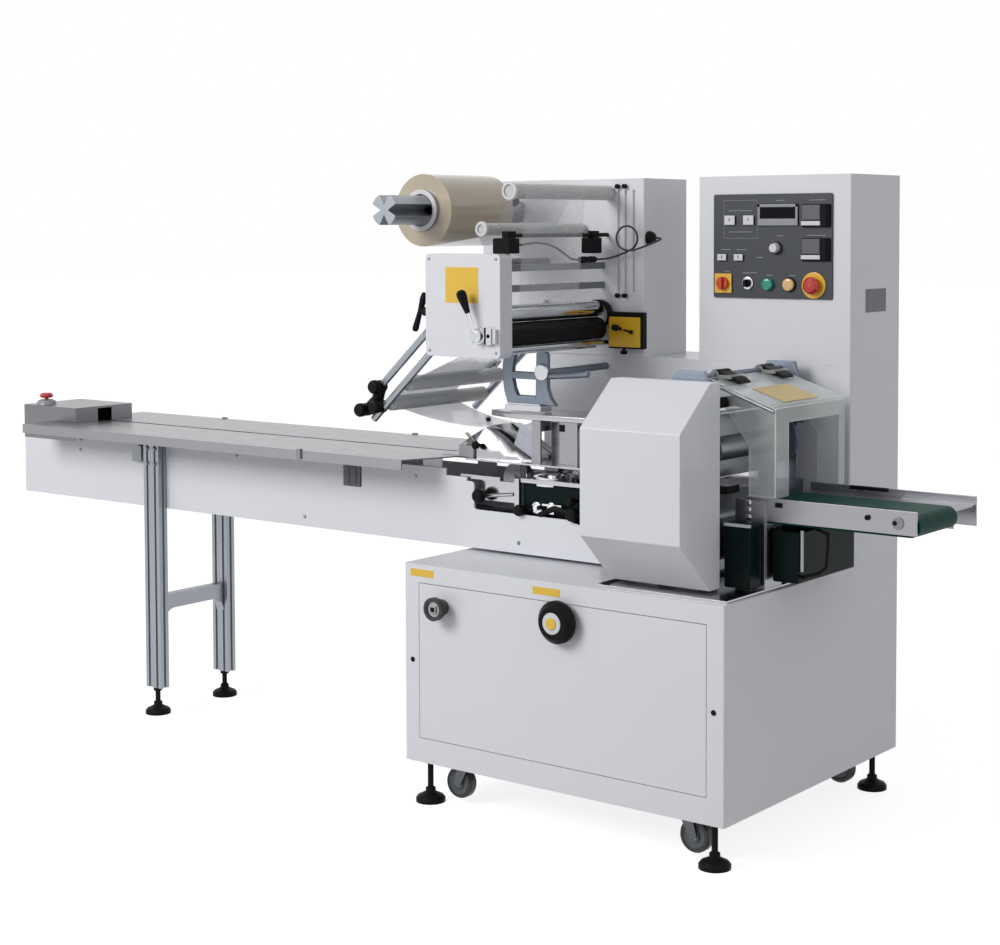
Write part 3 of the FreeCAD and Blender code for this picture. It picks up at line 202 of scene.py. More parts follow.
@dataclass(frozen=True)
class Finish:
    """One finish of the machine, with the relief and unevenness that it has in life.

    ``shine`` is the refractive index above 1; ``edge`` and ``grain_size`` are in metres.
    """
    name: str
    colour: Colour
    slot: str
    roughness: float = 0.45
    metallic: float = 0.0
    grain: Grain = Grain.SMOOTH
    grain_size: float = 0.0012
    relief: float = 0.12
    shade_spread: float = 0.04
    gloss_spread: float = 0.08
    coat: float = 0.0
    shine: float = 0.5
    edge: float = 0.0008
    inlays: tuple[Inlay, ...] = ()

    def material(self) -> bpy.types.Material:
        """Return the finish's material, made the first time it is asked for."""
        found = bpy.data.materials.get(self.name)
        return found or self.mixed()

    def mixed(self) -> bpy.types.Material:
        """Mix the material: colour with slow unevenness, gloss that varies, and the grain as relief."""
        recipe = Recipe(self.name)
        place = recipe.node("TexCoord").outputs["Object"]
        cloud = recipe.node("TexNoise", None, Vector=place, Scale=CLOUD_SCALE,
                            Detail=CLOUD_DETAIL).outputs[0]
        smear = recipe.node("TexNoise", None, Vector=place, Scale=SMEAR_SCALE,
                            Detail=SMEAR_DETAIL).outputs[0]
        uneven = recipe.math("MULTIPLY", recipe.math("SUBTRACT", cloud, 0.5), 2 * self.shade_spread)
        bright = recipe.math("ADD", uneven, 1.0)
        colour = recipe.node("VectorMath", {"operation": "SCALE"}, i0=self.colour, Scale=bright).outputs[0]
        gloss = recipe.math("MULTIPLY_ADD", recipe.math("SUBTRACT", smear, 0.5), 2 * self.gloss_spread,
                            self.roughness)
        metal: object = self.metallic
        for inlay in self.inlays:
            mask = recipe.mask(inlay, place)
            colour = recipe.node("Mix", {"data_type": "RGBA"}, i0=mask, i6=colour,
                                 i7=(*inlay.colour, 1.0)).outputs[2]
            gloss = recipe.node("Mix", None, i0=mask, i2=gloss, i3=inlay.roughness).outputs[0]
            metal = recipe.node("Mix", None, i0=mask, i2=metal, i3=inlay.metallic).outputs[0]
        recipe.feed("Base Color", colour)
        recipe.feed("Roughness", gloss)
        recipe.feed("Metallic", metal)
        recipe.feed("Coat Weight", self.coat)
        recipe.feed("IOR", 1.0 + self.shine)
        recipe.feed("Normal", self.surface(recipe, place))
        return recipe.material

    def surface(self, recipe: Recipe, place: bpy.types.NodeSocket) -> bpy.types.NodeSocket:
        """Return the normal: eased edges with the grain on top.

        Args:
            recipe: the tree to add to.
            place: the object's coordinates.

        Returns:
            The normal's socket.
        """
        stretch = GRAIN_STRETCH.get(self.grain, (1.0, 1.0, 1.0))
        fine = recipe.node("Mapping", None, Vector=place, Scale=stretch).outputs[0]
        if self.grain is Grain.WOVEN:
            threads = [recipe.node("TexWave", {"bands_direction": way}, Vector=fine,
                                   Scale=0.5 / self.grain_size).outputs[1] for way in ("X", "Y")]
            height = recipe.math("MULTIPLY", *threads)
        else:
            height = recipe.node("TexNoise", None, Vector=fine, Scale=1 / self.grain_size,
                                 Detail=GRAIN_DETAIL).outputs[0]
        eased = recipe.node("Bevel", {"samples": EDGE_SAMPLES}, Radius=self.edge).outputs[0]
        return recipe.node("Bump", None, Strength=self.relief, Distance=self.grain_size,
                           Height=height, Normal=eased).outputs[0]


@dataclass(frozen=True)
class ClearFinish(Finish):
    """A clear sheet: almost unseen face on, brighter where it turns away, where the rim is a painted reflection; its
    even white cover is partly the sheet's own cloudiness and partly painted reflected light.
    """
    haze_and_painted_sheen: float = 0.10
    painted_rim_reflection: float = 0.75

    def mixed(self) -> bpy.types.Material:
        """Mix the clear sheet's material."""
        recipe = Recipe(self.name)
        place = recipe.node("TexCoord").outputs["Object"]
        ripple = recipe.node("TexNoise", None, Vector=place, Scale=1 / self.grain_size,
                             Detail=RIPPLE_DETAIL).outputs[0]
        turned = recipe.node("LayerWeight", None, Blend=SHEET_FALLOFF).outputs["Facing"]
        curve = recipe.math("POWER", turned, SHEET_CURVE)
        # painted reflection: white opacity grows towards grazing angles as reflected light would, over an even white
        # veil that is partly the sheet's cloudiness and partly painted light
        cover = recipe.math("MULTIPLY_ADD", curve, self.painted_rim_reflection, self.haze_and_painted_sheen)
        patch = recipe.math("MULTIPLY_ADD", recipe.math("SUBTRACT", ripple, 0.5), self.shade_spread, cover)
        recipe.feed("Base Color", (*self.colour, 1.0))
        recipe.feed("Roughness", self.roughness)
        recipe.feed("Alpha", patch)
        recipe.feed("Specular IOR Level", SHEET_SPECULAR)
        recipe.feed("Normal", recipe.node("Bump", None, Strength=self.relief, Distance=self.grain_size,
                                          Height=ripple).outputs[0])
        return recipe.material


WHITE_PAINT = Finish("white_powder_coat", (0.80, 0.81, 0.85), "white_paint", roughness=0.42, grain=Grain.PEEL,
                     grain_size=0.0016, relief=0.05, shade_spread=0.015, coat=0.25, edge=0.0015)
STAINLESS = Finish("brushed_stainless", (0.31, 0.31, 0.33), "stainless", roughness=0.30, metallic=1.0,
                   grain=Grain.BRUSHED_X, grain_size=0.0008, relief=0.10, shade_spread=0.06)
POLISHED = Finish("polished_stainless", (0.46, 0.46, 0.48), "stainless", roughness=0.16, metallic=1.0,
                  grain=Grain.BRUSHED_X, grain_size=0.0008, relief=0.04)
ALUMINIUM = Finish("satin_aluminium", (0.32, 0.34, 0.37), "aluminium", roughness=0.38, metallic=1.0,
                   grain=Grain.BRUSHED_Z, grain_size=0.0006, relief=0.08, shade_spread=0.05)
CASTING = Finish("machined_casting", (0.22, 0.25, 0.30), "cast_metal", roughness=0.46, metallic=0.9,
                 grain=Grain.CAST, grain_size=0.0025, relief=0.25, shade_spread=0.12)
BLACK_PLASTIC = Finish("black_moulding", (0.012, 0.012, 0.013), "black_plastic", roughness=0.36,
                       grain=Grain.MOULDED, grain_size=0.0007, relief=0.12, shine=DULL)
PANEL_BLACK = Finish("panel_black", (0.010, 0.012, 0.017), "panel_black", roughness=0.30, grain=Grain.PEEL,
                     grain_size=0.001, relief=0.05, shine=DULL)
CHROME = Finish("chrome_plate", (0.62, 0.63, 0.66), "chrome", roughness=0.08, metallic=1.0, relief=0.02,
                gloss_spread=0.03)
STEEL = Finish("machined_steel", (0.24, 0.25, 0.27), "steel", roughness=0.34, metallic=1.0,
               grain=Grain.BRUSHED_Y, grain_size=0.0007, relief=0.10, shade_spread=0.08)
RUBBER = Finish("black_rubber", (0.015, 0.015, 0.016), "rubber", roughness=0.55, grain=Grain.MOULDED,
                grain_size=0.0009, relief=0.15, shine=DULL)
ROLLER_RUBBER = Finish("ground_rubber", (0.012, 0.012, 0.014), "rubber", roughness=0.22, grain=Grain.BRUSHED_Y,
                       grain_size=0.0009, relief=0.04, shine=DULL)
BELT = Finish("green_belt", (0.004, 0.055, 0.042), "belt_green", roughness=0.42, grain=Grain.WOVEN,
              grain_size=0.0022, relief=0.35, shade_spread=0.10, shine=DULL)
YELLOW_PAINT = Finish("orange_yellow_paint", (0.86, 0.50, 0.02), "yellow", roughness=0.35, grain=Grain.PEEL,
                      relief=0.05, coat=0.3)
LABEL_YELLOW = Finish("bare_yellow_label", (0.86, 0.55, 0.06), "yellow", roughness=0.40, grain=Grain.PEEL,
                      relief=0.03, edge=0.0002)
RED_PLASTIC = Finish("red_moulding", (0.55, 0.012, 0.012), "red", roughness=0.25, grain=Grain.MOULDED,
                     grain_size=0.0006, relief=0.04, coat=0.4)
CABLE_SHEATH = Finish("cable_sheath", (0.014, 0.014, 0.015), "cable", roughness=0.42, grain=Grain.MOULDED,
                      grain_size=0.0007, relief=0.10)
GREY_PLASTIC = Finish("grey_moulding", (0.30, 0.31, 0.33), "grey_plastic", roughness=0.42, grain=Grain.MOULDED,
                      grain_size=0.0006, relief=0.08)
FILM_WOUND = Finish("wound_film", (0.52, 0.44, 0.33), "film_roll", roughness=0.16, grain=Grain.WOUND,
                    grain_size=0.0010, relief=0.05, shade_spread=0.14, coat=0.6)
# The clear sheets' haze and rim paint reflected light as white opacity; the acrylic's haze is set high and whiter so
# the guard reads bright over the shaded housing behind it.
CLEAR_FILM = ClearFinish("clear_film", (0.93, 0.95, 0.97), "film", roughness=0.06, grain_size=0.045,
                         relief=0.004, shade_spread=0.03, haze_and_painted_sheen=0.26, painted_rim_reflection=0.50)
ACRYLIC = ClearFinish("clear_acrylic", (0.90, 0.93, 0.93), "acrylic", roughness=0.04, grain_size=0.3,
                      relief=0.02, shade_spread=0.03, haze_and_painted_sheen=0.34, painted_rim_reflection=0.55)
ACRYLIC_EDGE = Finish("acrylic_edge", (0.80, 0.84, 0.85), "acrylic", roughness=0.12, coat=0.6)
FORMED_FILM = ClearFinish("formed_film", (0.62, 0.65, 0.74), "film", roughness=0.10, grain_size=0.045,
                          relief=0.008, shade_spread=0.06, haze_and_painted_sheen=0.66, painted_rim_reflection=0.32)
WHITE_PLASTIC = Finish("white_moulding", (0.72, 0.73, 0.75), "grey_plastic", roughness=0.35,
                       grain=Grain.MOULDED, grain_size=0.0006, relief=0.05)
SMOKED = Finish("smoked_window", (0.010, 0.010, 0.014), "black_plastic", roughness=0.12, shine=DULL)
PRINT = Finish("panel_print", (0.30, 0.31, 0.34), "grey_plastic", roughness=0.5, edge=0.0001)
GREEN_LENS = Finish("green_lens", (0.0, 0.30, 0.20), "grey_plastic", roughness=0.15, coat=0.6)
CREAM_LENS = Finish("cream_lens", (0.82, 0.52, 0.20), "grey_plastic", roughness=0.15, coat=0.6)
DARK_STEEL = Finish("dark_zinc", (0.10, 0.105, 0.11), "steel", roughness=0.3, metallic=1.0)
DARK_PLATE = Finish("dark_grey_plate", (0.10, 0.10, 0.12), "grey_plastic", roughness=0.35, edge=0.0002)
DARK_COVER = Finish("dark_cover", (0.006, 0.014, 0.014), "panel_black", roughness=0.28, grain=Grain.PEEL,
                    relief=0.04, shine=DULL)
FADED_PATCH = Finish("faded_patch", (0.80, 0.62, 0.30), "yellow", roughness=0.5, shade_spread=0.15)
BLUE_CASTING = Finish("blue_grey_casting", (0.14, 0.18, 0.24), "cast_metal", roughness=0.4, metallic=0.6,
                      grain=Grain.CAST, relief=0.1)
SWITCH_RED = Finish("switch_red", (0.62, 0.05, 0.01), "red", roughness=0.3, coat=0.3)
GUIDE_WHITE = Finish("white_guide_roller", (0.60, 0.61, 0.60), "aluminium", roughness=0.4,
                     grain=Grain.BRUSHED_Y, grain_size=0.0008, relief=0.05)


# ---------------------------------------------------------------- meshes
class Axis(Enum):
    """A direction of the machine's frame, with the two directions across it."""
    X = (0, 1, 2)
    Y = (1, 0, 2)
    Z = (2, 0, 1)


class Form:
    """Solids gathered in one mesh, in millimetres from the cabinet's front right corner on the floor."""

    def __init__(self) -> None:
        """Start with an empty mesh."""
        self.mesh = bmesh.new()

    def prism(self, outline: Sequence[Point], axis: Axis, low: float, high: float) -> "Form":
        """Add a closed outline drawn out along an axis.

        Args:
            outline: the corners, in the two directions across the axis.
            axis: the direction that the outline is drawn along.
            low: where it starts.
            high: where it ends.

        Returns:
            This form.
        """
        along, first, second = axis.value
        rings = []
        for level in (low, high):
            ring = []
            for a, b in outline:
                place = [0.0, 0.0, 0.0]
                place[along], place[first], place[second] = level, a, b
                ring.append(self.mesh.verts.new(place))
            rings.append(ring)
        self.skin(rings, True)
        return self

    def block(self, low: Point, high: Point) -> "Form":
        """Add a box between two corners.

        Args:
            low: its lowest corner.
            high: its highest corner.

        Returns:
            This form.
        """
        outline = [(low[0], low[1]), (high[0], low[1]), (high[0], high[1]), (low[0], high[1])]
        return self.prism(outline, Axis.Z, low[2], high[2])

    def skin(self, rings: Sequence[Sequence[bmesh.types.BMVert]], capped: bool) -> None:
        """Join rings of points with faces.

        Args:
            rings: rings of as many points each.
            capped: whether the first and the last ring are closed.
        """
        count = len(rings[0])
        for near, far in zip(rings, rings[1:]):
            for n in range(count):
                m = (n + 1) % count
                self.mesh.faces.new((near[n], near[m], far[m], far[n]))
        if capped:
            self.mesh.faces.new(list(reversed(rings[0])))
            self.mesh.faces.new(rings[-1])

    def sheet(self, rows: Sequence[Sequence[Point]]) -> "Form":
        """Add an open sheet.

        Args:
            rows: rows of as many points each, one after another along the sheet.

        Returns:
            This form.
        """
        grid = [[self.mesh.verts.new(point) for point in row] for row in rows]
        for near, far in zip(grid, grid[1:]):
            for n in range(len(near) - 1):
                self.mesh.faces.new((near[n], near[n + 1], far[n + 1], far[n]))
        return self

    def knob(self, place: Point, axis: Point, radius: float, height: float) -> "Form":
        """Add a knob with a waisted stem and a domed head.

        Args:
            place: the middle of its foot.
            axis: the way it points.
            radius: the head's radius.
            height: its whole height.

        Returns:
            This form.
        """
        neck = radius * 0.45
        profile = [(neck, 0), (neck, height * 0.3), (radius * 0.9, height * 0.38), (radius, height * 0.5),
                   (radius, height * 0.78), (radius * 0.82, height * 0.93), (radius * 0.4, height)]
        return self.turned(profile, place, axis, 24)

    def knobs(self, knobs: Iterable[tuple[Point, Point, float, float]]) -> "Form":
        """Add several knobs.

        Args:
            knobs: for each, what ``knob`` takes.

        Returns:
            This form.
        """
        for place, axis, radius, height in knobs:
            self.knob(place, axis, radius, height)
        return self

    def blocks(self, corners: Iterable[tuple[Point, Point]]) -> "Form":
        """Add several boxes.

        Args:
            corners: for each, its lowest and its highest corner.

        Returns:
            This form.
        """
        for low, high in corners:
            self.block(low, high)
        return self

    def studs(self, profile: Sequence[tuple[float, float]], places: Iterable[Point], axis: Point,
              steps: int) -> "Form":
        """Add the same turned solid at several places.

        Args:
            profile: radius and height pairs, as ``turned`` takes them.
            places: where height 0 is for each.
            axis: the direction of growing height.
            steps: points round each.

        Returns:
            This form.
        """
        for place in places:
            self.turned(profile, place, axis, steps)
        return self

    def turned(self, profile: Sequence[tuple[float, float]], start: Point, axis: Point,
               steps: int = 40) -> "Form":
        """Add a turned solid.

        Args:
            profile: radius and height pairs from one end to the other, with the ends closed flat.
            start: where height 0 is.
            axis: the direction of growing height.
            steps: points round it.

        Returns:
            This form.
        """
        turn = Vector(axis).to_track_quat("Z", "Y").to_matrix()
        rings = []
        for radius, height in profile:
            ring = []
            for n in range(steps):
                angle = math.tau * n / steps
                local = Vector((radius * math.cos(angle), radius * math.sin(angle), height))
                ring.append(self.mesh.verts.new(Vector(start) + turn @ local))
            rings.append(ring)
        self.skin(rings, True)
        return self

    def tube(self, path: Sequence[Point], radius: float, steps: int = 12) -> "Form":
        """Add a round bar that follows points.

        Args:
            path: the points of its middle line.
            radius: the bar's radius.
            steps: points round it.

        Returns:
            This form.
        """
        points = [Vector(p) for p in path]
        rings = []
        side = None
        for n, point in enumerate(points):
            ahead = (points[min(n + 1, len(points) - 1)] - points[max(n - 1, 0)]).normalized()
            side = (side or ahead.orthogonal()).cross(ahead).normalized().cross(ahead).normalized() * -1
            other = ahead.cross(side)
            rings.append([self.mesh.verts.new(point + radius * (math.cos(math.tau * k / steps) * side
                                                                + math.sin(math.tau * k / steps) * other))
                          for k in range(steps)])
        self.skin(rings, True)
        return self

    def piece(self, name: str, finish: Finish, body: str = ROOT, ease: float = 0.0006,
              stands_for: Iterable[str] = (), thickness: float = 0.0) -> bpy.types.Object:
        """Turn the form into a piece of the machine.

        Args:
            name: the piece's name.
            finish: its finish.
            body: the body that it moves with.
            ease: how far its sharp edges are rounded.
            stands_for: the CAD nodes that it takes the place of.
            thickness: for an open sheet, how thick it is made, in metres.

        Returns:
            The piece.
        """
        bmesh.ops.recalc_face_normals(self.mesh, faces=self.mesh.faces)
        self.mesh.transform(Matrix.Translation(CORNER) @ Matrix.Scale(MM, 4))
        data = bpy.data.meshes.new(name)
        self.mesh.to_mesh(data)
        self.mesh.free()
        for face in data.polygons:
            face.use_smooth = True
        made = bpy.data.objects.new(name, data)
        bpy.context.scene.collection.objects.link(made)
        if thickness > 0:
            made.modifiers.new("thickness", "SOLIDIFY").thickness = thickness
        if ease > 0:
            bevel = made.modifiers.new("eased_edges", "BEVEL")
            bevel.width = ease
            bevel.segments = EASED_SEGMENTS
            bevel.limit_method = "ANGLE"
            bevel.angle_limit = EASED_ANGLE
        made.modifiers.new("normals", "WEIGHTED_NORMAL").keep_sharp = True
        data.materials.append(finish.material())
        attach(made, body)
        if stands_for:
            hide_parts(*stands_for)
        LOG.info("%s rides on %s", name, body)
        return made


def wear(finish: Finish, *nodes: str) -> None:
    """Give CAD nodes a finish.

    Args:
        finish: the finish.
        nodes: the nodes' names.
    """
    for name in nodes:
        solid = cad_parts[name]
        if not solid.material_slots:
            solid.data.materials.append(finish.material())
        for place in solid.material_slots:
            place.link = "OBJECT"
            place.material = finish.material()


# ---------------------------------------------------------------- cables
@dataclass
class SensorCable:
    """The film sensor's lead, its in-line connector and the tail that loops into the head's gland."""
    diameter: float = 0.005
    lead_length: float = 0.258
    tail_length: float = 0.417
    lead: tuple[tuple[float, float, float], ...] = (
        (0.4305, -0.2055, 1.308), (0.4305, -0.1755, 1.308), (0.4305, -0.1305, 1.313),
        (0.4305, -0.0785, 1.310), (0.4315, -0.0325, 1.296), (0.4335, -0.0025, 1.279),
        (0.4345, 0.0205, 1.270), (0.4345, 0.0445, 1.270),
    )
    tail: tuple[tuple[float, float, float], ...] = (
        (0.4345, 0.1165, 1.270), (0.4345, 0.1375, 1.270), (0.4475, 0.1535, 1.272),
        (0.4705, 0.1595, 1.279), (0.4945, 0.1575, 1.287), (0.5195, 0.1545, 1.296),
        (0.5355, 0.1505, 1.314), (0.5345, 0.1465, 1.338), (0.5165, 0.1425, 1.353),
        (0.4935, 0.1385, 1.349), (0.4805, 0.1355, 1.329), (0.4865, 0.1335, 1.306),
        (0.5045, 0.1325, 1.293), (0.5275, 0.1335, 1.291), (0.5505, 0.1385, 1.298),
        (0.5705, 0.1535, 1.308), (0.5835, 0.1745, 1.317), (0.5755, 0.1955, 1.322),
        (0.5535, 0.1955, 1.322),
    )

    def run(self, name: str, route: Sequence[Point], node: str) -> bpy.types.Object:
        """Make one cable as a smooth curve with the route's points as its control points.

        Args:
            name: the cable's name.
            route: its points.
            node: the CAD node that it replaces.

        Returns:
            The cable.
        """
        curve = bpy.data.curves.new(name, "CURVE")
        curve.dimensions = "3D"
        curve.bevel_depth = self.diameter / 2
        curve.bevel_resolution = 4
        curve.resolution_u = 10
        curve.use_fill_caps = True
        line = curve.splines.new("NURBS")
        line.points.add(len(route) - 1)
        for point, place in zip(line.points, route):
            point.co = (*place, 1.0)
        line.order_u = 3
        line.use_endpoint_u = True
        cable = bpy.data.objects.new(name, curve)
        bpy.context.scene.collection.objects.link(cable)
        curve.materials.append(CABLE_SHEATH.material())
        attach(cable, ROOT)
        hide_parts(node)
        LOG.info("%s rides on %s", name, ROOT)
        return cable

    def build(self) -> None:
        lead = self.run("sensor_lead", self.lead, "sensor_cable_lead")
        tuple(self.lead[0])
        tail = self.run("sensor_tail", self.tail, "sensor_cable_tail")
        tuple(self.tail[0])

    def dress(self) -> None:
        """Finish the connector."""
        wear(BLACK_PLASTIC, "cable_connector")


# ---------------------------------------------------------------- studio
@dataclass
class Studio:
    """The pale floor, the soft light and the camera."""
    azimuth: float = 37.931
    elevation: float = 2.980
    roll: float = -0.207
    lens: float = 68.471
    shift_y: float = -0.145
    camera_place: tuple[float, float, float] = (3.12276, -3.71764, 1.34653)
    clip_end: float = 100.0
    sensor_width: float = 36.0
    floor_reach: float = 40.0
    floor_colour: Colour = (0.50, 0.50, 0.51)
    floor_roughness: float = 0.9
    floor_glow: float = 0.80
    ambient: float = 0.32
    key_power: float = 175.0
    key_place: tuple[float, float, float] = (-1.6, -4.6, 3.6)
    key_aim: tuple[float, float, float] = (0.2, 0.0, 0.8)
    key_size: float = 2.6
    fill_power: float = 16.0
    fill_place: tuple[float, float, float] = (4.8, -0.6, 2.6)
    fill_aim: tuple[float, float, float] = (0.8, 0.0, 0.8)
    fill_size: float = 2.2

    def camera(self) -> None:
        """Set the camera."""
        turn, tilt = math.radians(self.azimuth), math.radians(self.elevation)
        back = Vector((math.sin(turn) * math.cos(tilt), -math.cos(turn) * math.cos(tilt), math.sin(tilt)))
        right = Vector((0, 0, 1)).cross(back).normalized()
        up = back.cross(right)
        data = bpy.data.cameras.new("camera")
        data.lens = self.lens
        data.sensor_width = self.sensor_width
        data.shift_y = self.shift_y
        data.clip_end = self.clip_end
        camera = bpy.data.objects.new("camera", data)
        bpy.context.scene.collection.objects.link(camera)
        look = Matrix((right, up, back)).transposed()
        camera.matrix_world = (Matrix.Translation(self.camera_place) @ look.to_4x4()
                               @ Matrix.Rotation(math.radians(self.roll), 4, "Z"))
        bpy.context.scene.camera = camera

    def floor(self) -> None:
        """Make the floor, which shows white to the camera and keeps the machine's shadow."""
        recipe = Recipe("pale_floor")
        rays = recipe.node("LightPath").outputs
        direct = recipe.math("MAXIMUM", rays["Is Camera Ray"], rays["Is Glossy Ray"])
        seen = recipe.math("MAXIMUM", direct, rays["Is Transmission Ray"])
        recipe.feed("Base Color", (*self.floor_colour, 1.0))
        recipe.feed("Roughness", self.floor_roughness)
        recipe.feed("Emission Color", (1.0, 1.0, 1.0, 1.0))
        recipe.feed("Emission Strength", recipe.math("MULTIPLY", seen, self.floor_glow))
        form = Form()
        corners = [form.mesh.verts.new((x * self.floor_reach, y * self.floor_reach, 0.0))
                   for x, y in ((-1, -1), (1, -1), (1, 1), (-1, 1))]
        form.mesh.faces.new(corners)
        data = bpy.data.meshes.new("floor")
        form.mesh.to_mesh(data)
        form.mesh.free()
        data.materials.append(recipe.material)
        floor = bpy.data.objects.new("floor", data)
        bpy.context.scene.collection.objects.link(floor)

    def lamp(self, name: str, place: Point, aim: Point, size: float, power: float) -> None:
        """Hang a square soft lamp.

        Args:
            name: the lamp's name.
            place: where it hangs.
            aim: what it points at.
            size: its side.
            power: its power in watts.
        """
        data = bpy.data.lights.new(name, "AREA")
        data.shape = "SQUARE"
        data.size = size
        data.energy = power
        lamp = bpy.data.objects.new(name, data)
        bpy.context.scene.collection.objects.link(lamp)
        lamp.location = place
        lamp.rotation_mode = "QUATERNION"
        lamp.rotation_quaternion = (Vector(aim) - Vector(place)).to_track_quat("-Z", "Y")

    def light(self) -> None:
        """Light the room: an even pale surround, a large key in front and a weak fill from the outfeed side."""
        world = bpy.data.worlds.new("room")
        bpy.context.scene.world = world
        world.use_nodes = True
        nodes, links = world.node_tree.nodes, world.node_tree.links
        plain = next(n for n in nodes if n.type == "BACKGROUND")
        plain.inputs["Color"].default_value = (1.0, 1.0, 1.0, 1.0)
        rays = nodes.new("ShaderNodeLightPath")
        seen = rays.outputs["Is Camera Ray"]
        for name in ("Is Glossy Ray", "Is Transmission Ray"):
            more = nodes.new("ShaderNodeMath")
            more.operation = "MAXIMUM"
            links.new(seen, more.inputs[0])
            links.new(rays.outputs[name], more.inputs[1])
            seen = more.outputs[0]
        level = nodes.new("ShaderNodeMix")
        links.new(seen, level.inputs[0])
        level.inputs[2].default_value = self.ambient
        level.inputs[3].default_value = 1.0
        links.new(level.outputs[0], plain.inputs["Strength"])
        self.lamp("key", self.key_place, self.key_aim, self.key_size, self.key_power)
        self.lamp("fill", self.fill_place, self.fill_aim, self.fill_size, self.fill_power)

    def build(self) -> None:
        """Set the whole studio up."""
        bpy.context.scene.view_settings.view_transform = "Standard"
        self.camera()
        self.floor()
        self.light()
        LOG.info("studio ready")


# ---------------------------------------------------------------- sub-assemblies
@dataclass
class Cabinet:
    """The base cabinet with its door, feet, casters, handwheel and small adjusting knob."""
    door_x: tuple[float, float] = (-828.0, -44.0)
    lock_z: float = 341.0
    lock_gap: float = 18.0
    labels: tuple[tuple[float, float, float], ...] = ((-817.0, 547.0, 70.0), (-458.0, 545.0, 75.0))
    label_h: float = 17.0
    wheel_place: tuple[float, float] = (-415.0, 485.0)
    knob_place: tuple[float, float] = (-754.0, 475.0)

    def build(self) -> None:
        """Make the door's locks, the two bare labels and the fasteners of the handwheel and the knob."""
        locks = [(x, 0, self.lock_z) for x in (self.door_x[0] - self.lock_gap, self.door_x[1] + self.lock_gap)]
        form = Form().studs([(6, 0), (6, 1.5), (5, 2.5)], locks, FORWARD, 20)
        form.piece("door_locks", BLACK_PLASTIC, ease=0.0002)
        form = Form()
        for x, z, width in self.labels:
            form.block((x - width / 2, -0.6, z - self.label_h / 2), (x + width / 2, 0, z + self.label_h / 2))
        form.piece("door_labels", LABEL_YELLOW, ease=0.0001)
        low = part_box("handwheel")[0]
        face = (low.y - CORNER.y) / MM
        x, z = self.wheel_place
        form = Form().turned([(24, 0), (24, 1.5), (22.5, 2.5)], (x, face, z), FORWARD, 40)
        form.piece("handwheel_dial", WHITE_PLASTIC, "handwheel", ease=0.0002)
        form = Form().turned([(13, 0), (13, 2.4), (11, 3.4)], (x, face - 2.4, z), FORWARD, 32)
        form.piece("handwheel_centre", LABEL_YELLOW, "handwheel", ease=0.0002)
        face = (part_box("adjust_knob")[0].y - CORNER.y) / MM
        x, z = self.knob_place
        form = Form().block((x - 5, face - 2.5, z - 5), (x + 5, face, z + 5))
        form.piece("adjust_knob_square", BLACK_PLASTIC, "adjust_knob", ease=0.0004)

    def dress(self) -> None:
        """Finish the cabinet's own pieces."""
        wear(WHITE_PAINT, "base_cabinet", "cabinet_door", "rear_housing")
        wear(BLACK_PLASTIC, "levelling_feet", "handwheel")
        x, z = self.knob_place
        ring = Inlay(Bounds.ROUND_Y, (x, 0.0, z), (60.0, 80.0, 0.0), (0.012, 0.012, 0.012))
        cone = Inlay(Bounds.ROUND_Y, (x, 0.0, z), (18.0, 80.0, 0.0), (0.50, 0.51, 0.52), 0.25)
        wear(Finish("adjust_knob_grey", (0.33, 0.34, 0.35), "grey_plastic", roughness=0.3, inlays=(ring, cone)),
             "adjust_knob")
        for corner in ("front_left", "front_right", "rear_left", "rear_right"):
            wear(DARK_STEEL, f"{corner}_caster_fork")
            low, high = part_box(f"{corner}_caster_wheel")
            middle = tuple(((low + high) / 2 - CORNER) / MM)
            hub = Inlay(Bounds.ROUND_Y, middle, (27.0, 30.0, 0.0), (0.09, 0.10, 0.11), 0.35)
            axle = Inlay(Bounds.ROUND_Y, middle, (8.0, 30.0, 0.0), (0.40, 0.41, 0.43), 0.3, 1.0)
            wear(Finish(f"{corner}_wheel_rubber", RUBBER.colour, "rubber", roughness=0.42,
                        grain=Grain.MOULDED, inlays=(hub, axle)), f"{corner}_caster_wheel")


